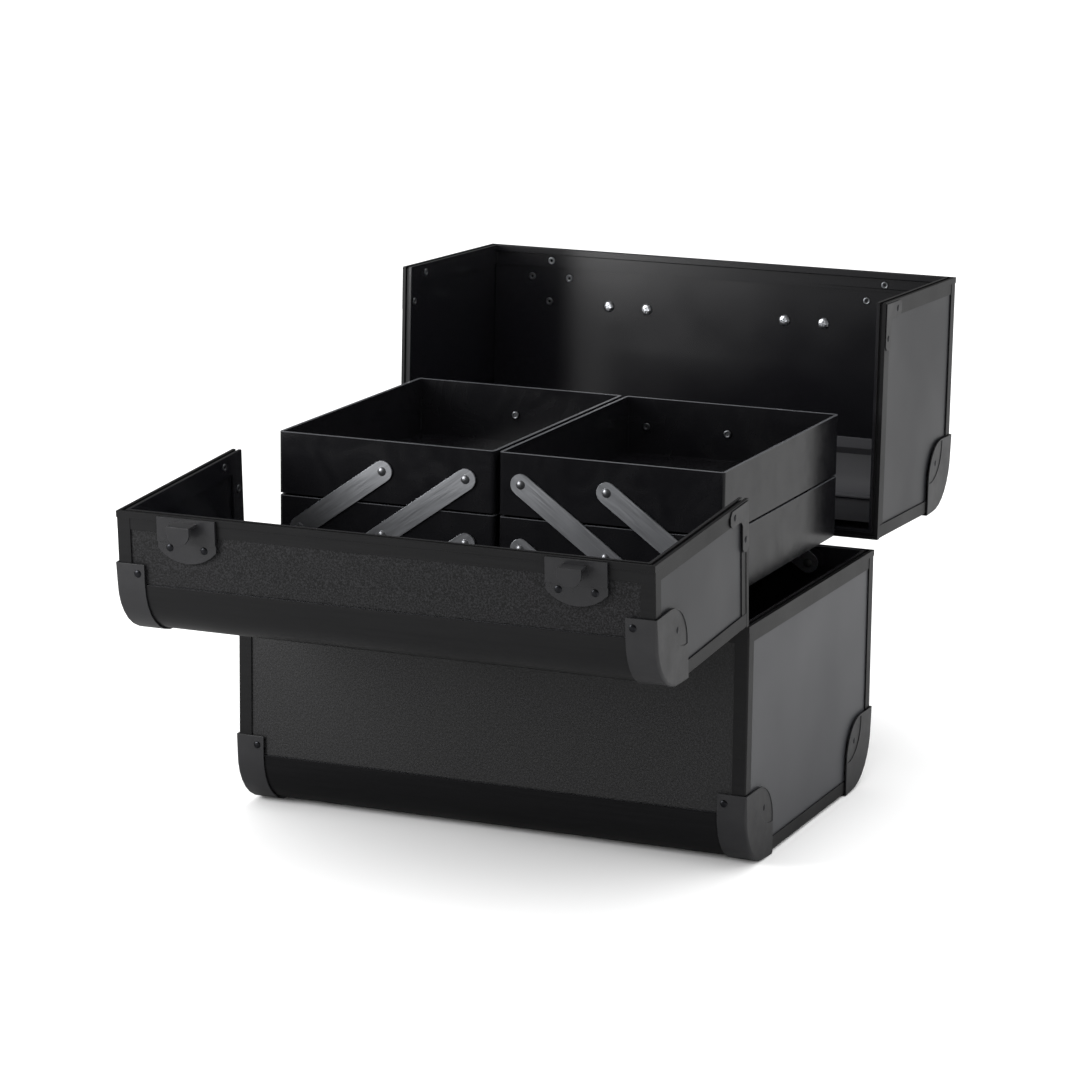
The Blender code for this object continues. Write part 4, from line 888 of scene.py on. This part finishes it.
capRivets = {
    "fromEnd": 0.015,            # rivets through a cap's strip
    "up": 0.0465,
    "lens": 0.036,               # rivets in a cap's dent, from both outer faces beside it
    "lensDepth": 0.0009,
}
capSpots = {"base": [], "front_lid": [], "back_lid": []}
proud = case["capOut"]
for xSign in (-1, 1):
    stripX = xSign * (case["halfLength"] - capRivets["fromEnd"])
    plateX = xSign * (case["halfLength"] + proud - capRivets["lensDepth"])
    for ySign in (-1, 1):
        face = ySign * (case["halfDepth"] + proud)
        capSpots["base"].append(
            facing((stripX, face, case["baseBottom"] + capRivets["up"]), (0, ySign, 0)))
        deep = ySign * (case["halfDepth"] - capRivets["lens"])
        capSpots["base"].append(
            facing((plateX, deep, case["baseBottom"] + capRivets["lens"]), (xSign, 0, 0)))
    for lid, inward in (("front", 1), ("back", -1)):
        wall = lids[lid]["wall"]
        body = lids[lid]["body"]
        capSpots[body].append(
            onLid(lid, stripX, wall + inward * capRivets["up"], lidTop + proud, (0, 0, 1)))
        capSpots[body].append(
            onLid(lid, plateX, wall + inward * capRivets["lens"], lidTop - capRivets["lens"],
                  (xSign, 0, 0)))
for body, places in capSpots.items():
    addPiece(body + "CapRivets", gathered(domedHead, places), blackRivet, body)

# flat L-shaped corner plates on the free corners of both lids
cornerPlate = {
    "leg": 0.034,
    "width": 0.0115,
    "inset": 0.0010,             # from the lid's edges
    "nip": 0.003,                # clipped corners
    "thickness": 0.0005,
    "gap": 0.0002,               # between the plate and the rim
    "sunk": 0.0003,              # rivet heads sit in dimples
    "rivetAlong": 0.0265,
    "rivetIn": 0.0066,
    "rimThickness": 0.0070,
    "edgeRadius": 0.00025,
}


def cornerPlateOutline(cornerY, inwardY, cornerZ):
    look = cornerPlate
    low, nip = look["inset"], look["nip"]
    wide, leg = look["inset"] + look["width"], look["inset"] + look["leg"]
    shape = [(low, low), (leg - nip, low), (leg, low + nip), (leg, wide - nip), (leg - nip, wide),
             (wide + nip, wide), (wide, wide + nip), (wide, leg - nip), (wide - nip, leg),
             (low + nip, leg), (low, leg - nip)]
    return [(cornerY + inwardY * a, cornerZ + b) for a, b in shape]


rivetSpots = ((cornerPlate["rivetAlong"], cornerPlate["rivetIn"]),
              (cornerPlate["rivetIn"], cornerPlate["rivetAlong"]))
for lid, inward in (("front", -1), ("back", 1)):
    spec = lids[lid]
    body = spec["body"]
    for side, sign in (("left", -1), ("right", 1)):
        label = f"{lid}Lid{side.title()}Corner"
        outline = cornerPlateOutline(spec["meeting"], inward, case["lidBottom"])
        mesh = plate(outline, cornerPlate["thickness"])
        # the outline's (u, v) lies in the end face: local x becomes y, y becomes z and z becomes x
        plateX = case["halfLength"] + cornerPlate["gap"]
        turn = Matrix(((0, 0, sign, sign * plateX), (1, 0, 0, 0), (0, 1, 0, 0), (0, 0, 0, 1)))
        mesh.transform(spec["place"] @ turn)
        addPiece(label + "Plate", mesh, coatedSteel, body, bevel=cornerPlate["edgeRadius"])
        outs, ins = [], []
        outX = sign * (plateX + cornerPlate["thickness"] - cornerPlate["sunk"])
        inX = sign * (case["halfLength"] - cornerPlate["rimThickness"])
        for a, b in rivetSpots:
            y, z = spec["meeting"] + inward * a, case["lidBottom"] + b
            outs.append(onLid(lid, outX, y, z, (sign, 0, 0)))
            ins.append(onLid(lid, inX, y, z, (-sign, 0, 0)))
        addPiece(label + "Rivets", gathered(domedHead, outs), blackRivet, body)
        addPiece(label + "RivetEnds", gathered(rolledEnd, ins), nickelRivet, body)

# hinge leaves are riveted through the rims
hingeRivets = {
    "spacing": 0.0743,
    "count": 4,
    "fromAxis": 0.0085,
    "leafFace": {"front": -0.0001, "back": -0.0044},  # where the heads sit, along y from the axis
}
for lid, ySign in (("front", -1), ("back", 1)):
    axisPoint = Vector(joints[lid + "_lid_hinge"]["pos_m"])
    y = hingeRivets["leafFace"][lid]
    for owner, up in (("base", -1), ("lid", 1)):
        places = []
        z = up * hingeRivets["fromAxis"]
        for number in range(hingeRivets["count"]):
            x = (number - (hingeRivets["count"] - 1) / 2) * hingeRivets["spacing"]
            if owner == "base":
                places.append(facing(axisPoint + Vector((x, y, z)), (0, ySign, 0)))
            else:
                places.append(onLid(lid, x, y, z, (0, ySign, 0)))
        body = "base" if owner == "base" else lids[lid]["body"]
        addPiece(f"{lid}Hinge{owner.title()}Rivets", gathered(domedHead, places), blackRivet, body)

# rolled ends of the arm rivets, seen inside the trays
armRivets = {"tailFace": 0.1139}  # where the ends sit, from the middle of the case
for side, lean in (("left", 1), ("right", -1)):
    for link in ("long", "lower", "upper"):
        places = []
        for face, ySign in (("front", -1), ("back", 1)):
            low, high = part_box(f"{side}_{face}_{link}_arm")
            r = armLook["endRadius"]
            bottom = Vector((low.x + r if lean > 0 else high.x - r, 0, low.z + r))
            top = Vector((high.x - r if lean > 0 else low.x + r, 0, high.z - r))
            spots = {"long": [(bottom + top) / 2, top],
                     "lower": [top],
                     "upper": [bottom, top]}[link]
            for spot in spots:
                spot = Vector((spot.x, ySign * armRivets["tailFace"], spot.z))
                places.append(facing(spot, (0, -ySign, 0)))
        addPiece(f"{side}{link.title()}ArmRivetEnds", gathered(rolledEnd, places), nickelRivet,
                 f"{side}_{link}_arms")
print("rivets and corner plates placed")

# camera at the height and angle from which the case is shown, in millimetres and degrees
cameraLook = {
    "place": (1084.0, -2615.6, 811.3),
    "yaw": 22.82,
    "pitch": 12.46,
    "roll": 0.65,
    "lens": 136.32,
    "sensor": 36.0,
    "clip": (0.1, 100.0),        # metres
}
yaw, pitch, roll = (math.radians(cameraLook[k]) for k in ("yaw", "pitch", "roll"))
ahead = Vector((-math.sin(yaw) * math.cos(pitch), math.cos(yaw) * math.cos(pitch), -math.sin(pitch)))
level = Vector((math.cos(yaw), math.sin(yaw), 0))
above = level.cross(ahead)
right = math.cos(roll) * level + math.sin(roll) * above
upward = math.cos(roll) * above - math.sin(roll) * level
camera = bpy.data.objects.new("camera", bpy.data.cameras.new("camera"))
scene.collection.objects.link(camera)
camera.data.sensor_width = cameraLook["sensor"]
camera.data.lens = cameraLook["lens"]
camera.data.clip_start, camera.data.clip_end = cameraLook["clip"]
rotation = Matrix((right, upward, -ahead)).transposed().to_4x4()
camera.matrix_world = Matrix.Translation(Vector(cameraLook["place"]) / 1000) @ rotation
scene.camera = camera

# pale floor under soft studio light
studio = {
    "floorHalf": 30.0,
    "floor": "#fbfbfb",
    # the floor as black gloss mirrors it, in front and beside the bright panel at the right
    "floorInGloss": (0.26, 0.46),
    "glossTurn": (0.19, 0.25),     # where along x it goes from one to the other
    "skyOnFloor": 1.35,            # strength of the sky for everything but mirrored rays
    "skyInGloss": 0.12,
    "lamps": {
        # name: place, aims at, width, height, watts
        "rightPanel": ((1.5, 1.3, 0.6), (0.1, 0, 0.15), 1.4, 1.2, 2.5),
        "leftPanel": ((-0.72, -0.88, 0.5), (-0.25, -0.1, 0.18), 0.45, 0.5, 8.6),
        "leftStrip": ((-0.85, -1.55, 0.15), (-0.05, 0.13, 0.3), 0.10, 0.5, 0.04),
        "topPanel": ((0.0, 0.4, 2.4), (0, 0, 0.2), 1.8, 1.8, 12.0),
    },
}
world = bpy.data.worlds.new("studio")
scene.world = world
world.use_nodes = True
sky = world.node_tree
sky.nodes.clear()
path = addNode(sky, "ShaderNodeLightPath")
seen = addNode(
    sky, "ShaderNodeMix",
    {"data_type": "FLOAT", 2: studio["skyOnFloor"], 3: studio["skyInGloss"]},
    {0: path.outputs["Is Glossy Ray"]})
backdrop = addNode(
    sky, "ShaderNodeBackground", {"Color": colour("#ffffff")}, {"Strength": seen.outputs[0]})
addNode(sky, "ShaderNodeOutputWorld", links={"Surface": backdrop.outputs[0]})

floorMesh = bmesh.new()
bmesh.ops.create_grid(floorMesh, x_segments=1, y_segments=1, size=studio["floorHalf"])
floorData = bpy.data.meshes.new("floor")
floorMesh.to_mesh(floorData)
floorMesh.free()
floorMaterial, floorTree = startMaterial("paleFloor")
path = addNode(floorTree, "ShaderNodeLightPath")
plain = addNode(floorTree, "ShaderNodeBsdfDiffuse", {"Color": colour(studio["floor"])})
where = addNode(floorTree, "ShaderNodeTexCoord").outputs["Object"]
across = addNode(floorTree, "ShaderNodeSeparateXYZ", links={0: where}).outputs[0]
glossy = addNode(
    floorTree, "ShaderNodeMapRange",
    {"From Min": studio["glossTurn"][0], "From Max": studio["glossTurn"][1],
     "To Min": studio["floorInGloss"][0], "To Max": studio["floorInGloss"][1]},
    {"Value": across}).outputs["Result"]
dim = addNode(floorTree, "ShaderNodeBsdfDiffuse", links={"Color": glossy})
floorMix = addNode(
    floorTree, "ShaderNodeMixShader", {},
    {0: path.outputs["Is Glossy Ray"], 1: plain.outputs[0], 2: dim.outputs[0]})
endMaterial(floorTree, floorMix)
floorData.materials.append(floorMaterial)
floor = bpy.data.objects.new("floor", floorData)
scene.collection.objects.link(floor)

for name, (place, aim, width, height, watts) in studio["lamps"].items():
    lamp = bpy.data.lights.new(name, "AREA")
    lamp.shape = "RECTANGLE"
    lamp.size = width
    lamp.size_y = height
    lamp.energy = watts
    holder = bpy.data.objects.new(name, lamp)
    holder.visible_camera = False
    holder.location = place
    holder.rotation_mode = "QUATERNION"
    holder.rotation_quaternion = (Vector(aim) - Vector(place)).to_track_quat("-Z", "Y")
    scene.collection.objects.link(holder)
scene.view_settings.view_transform = "Standard"
print("studio ready")
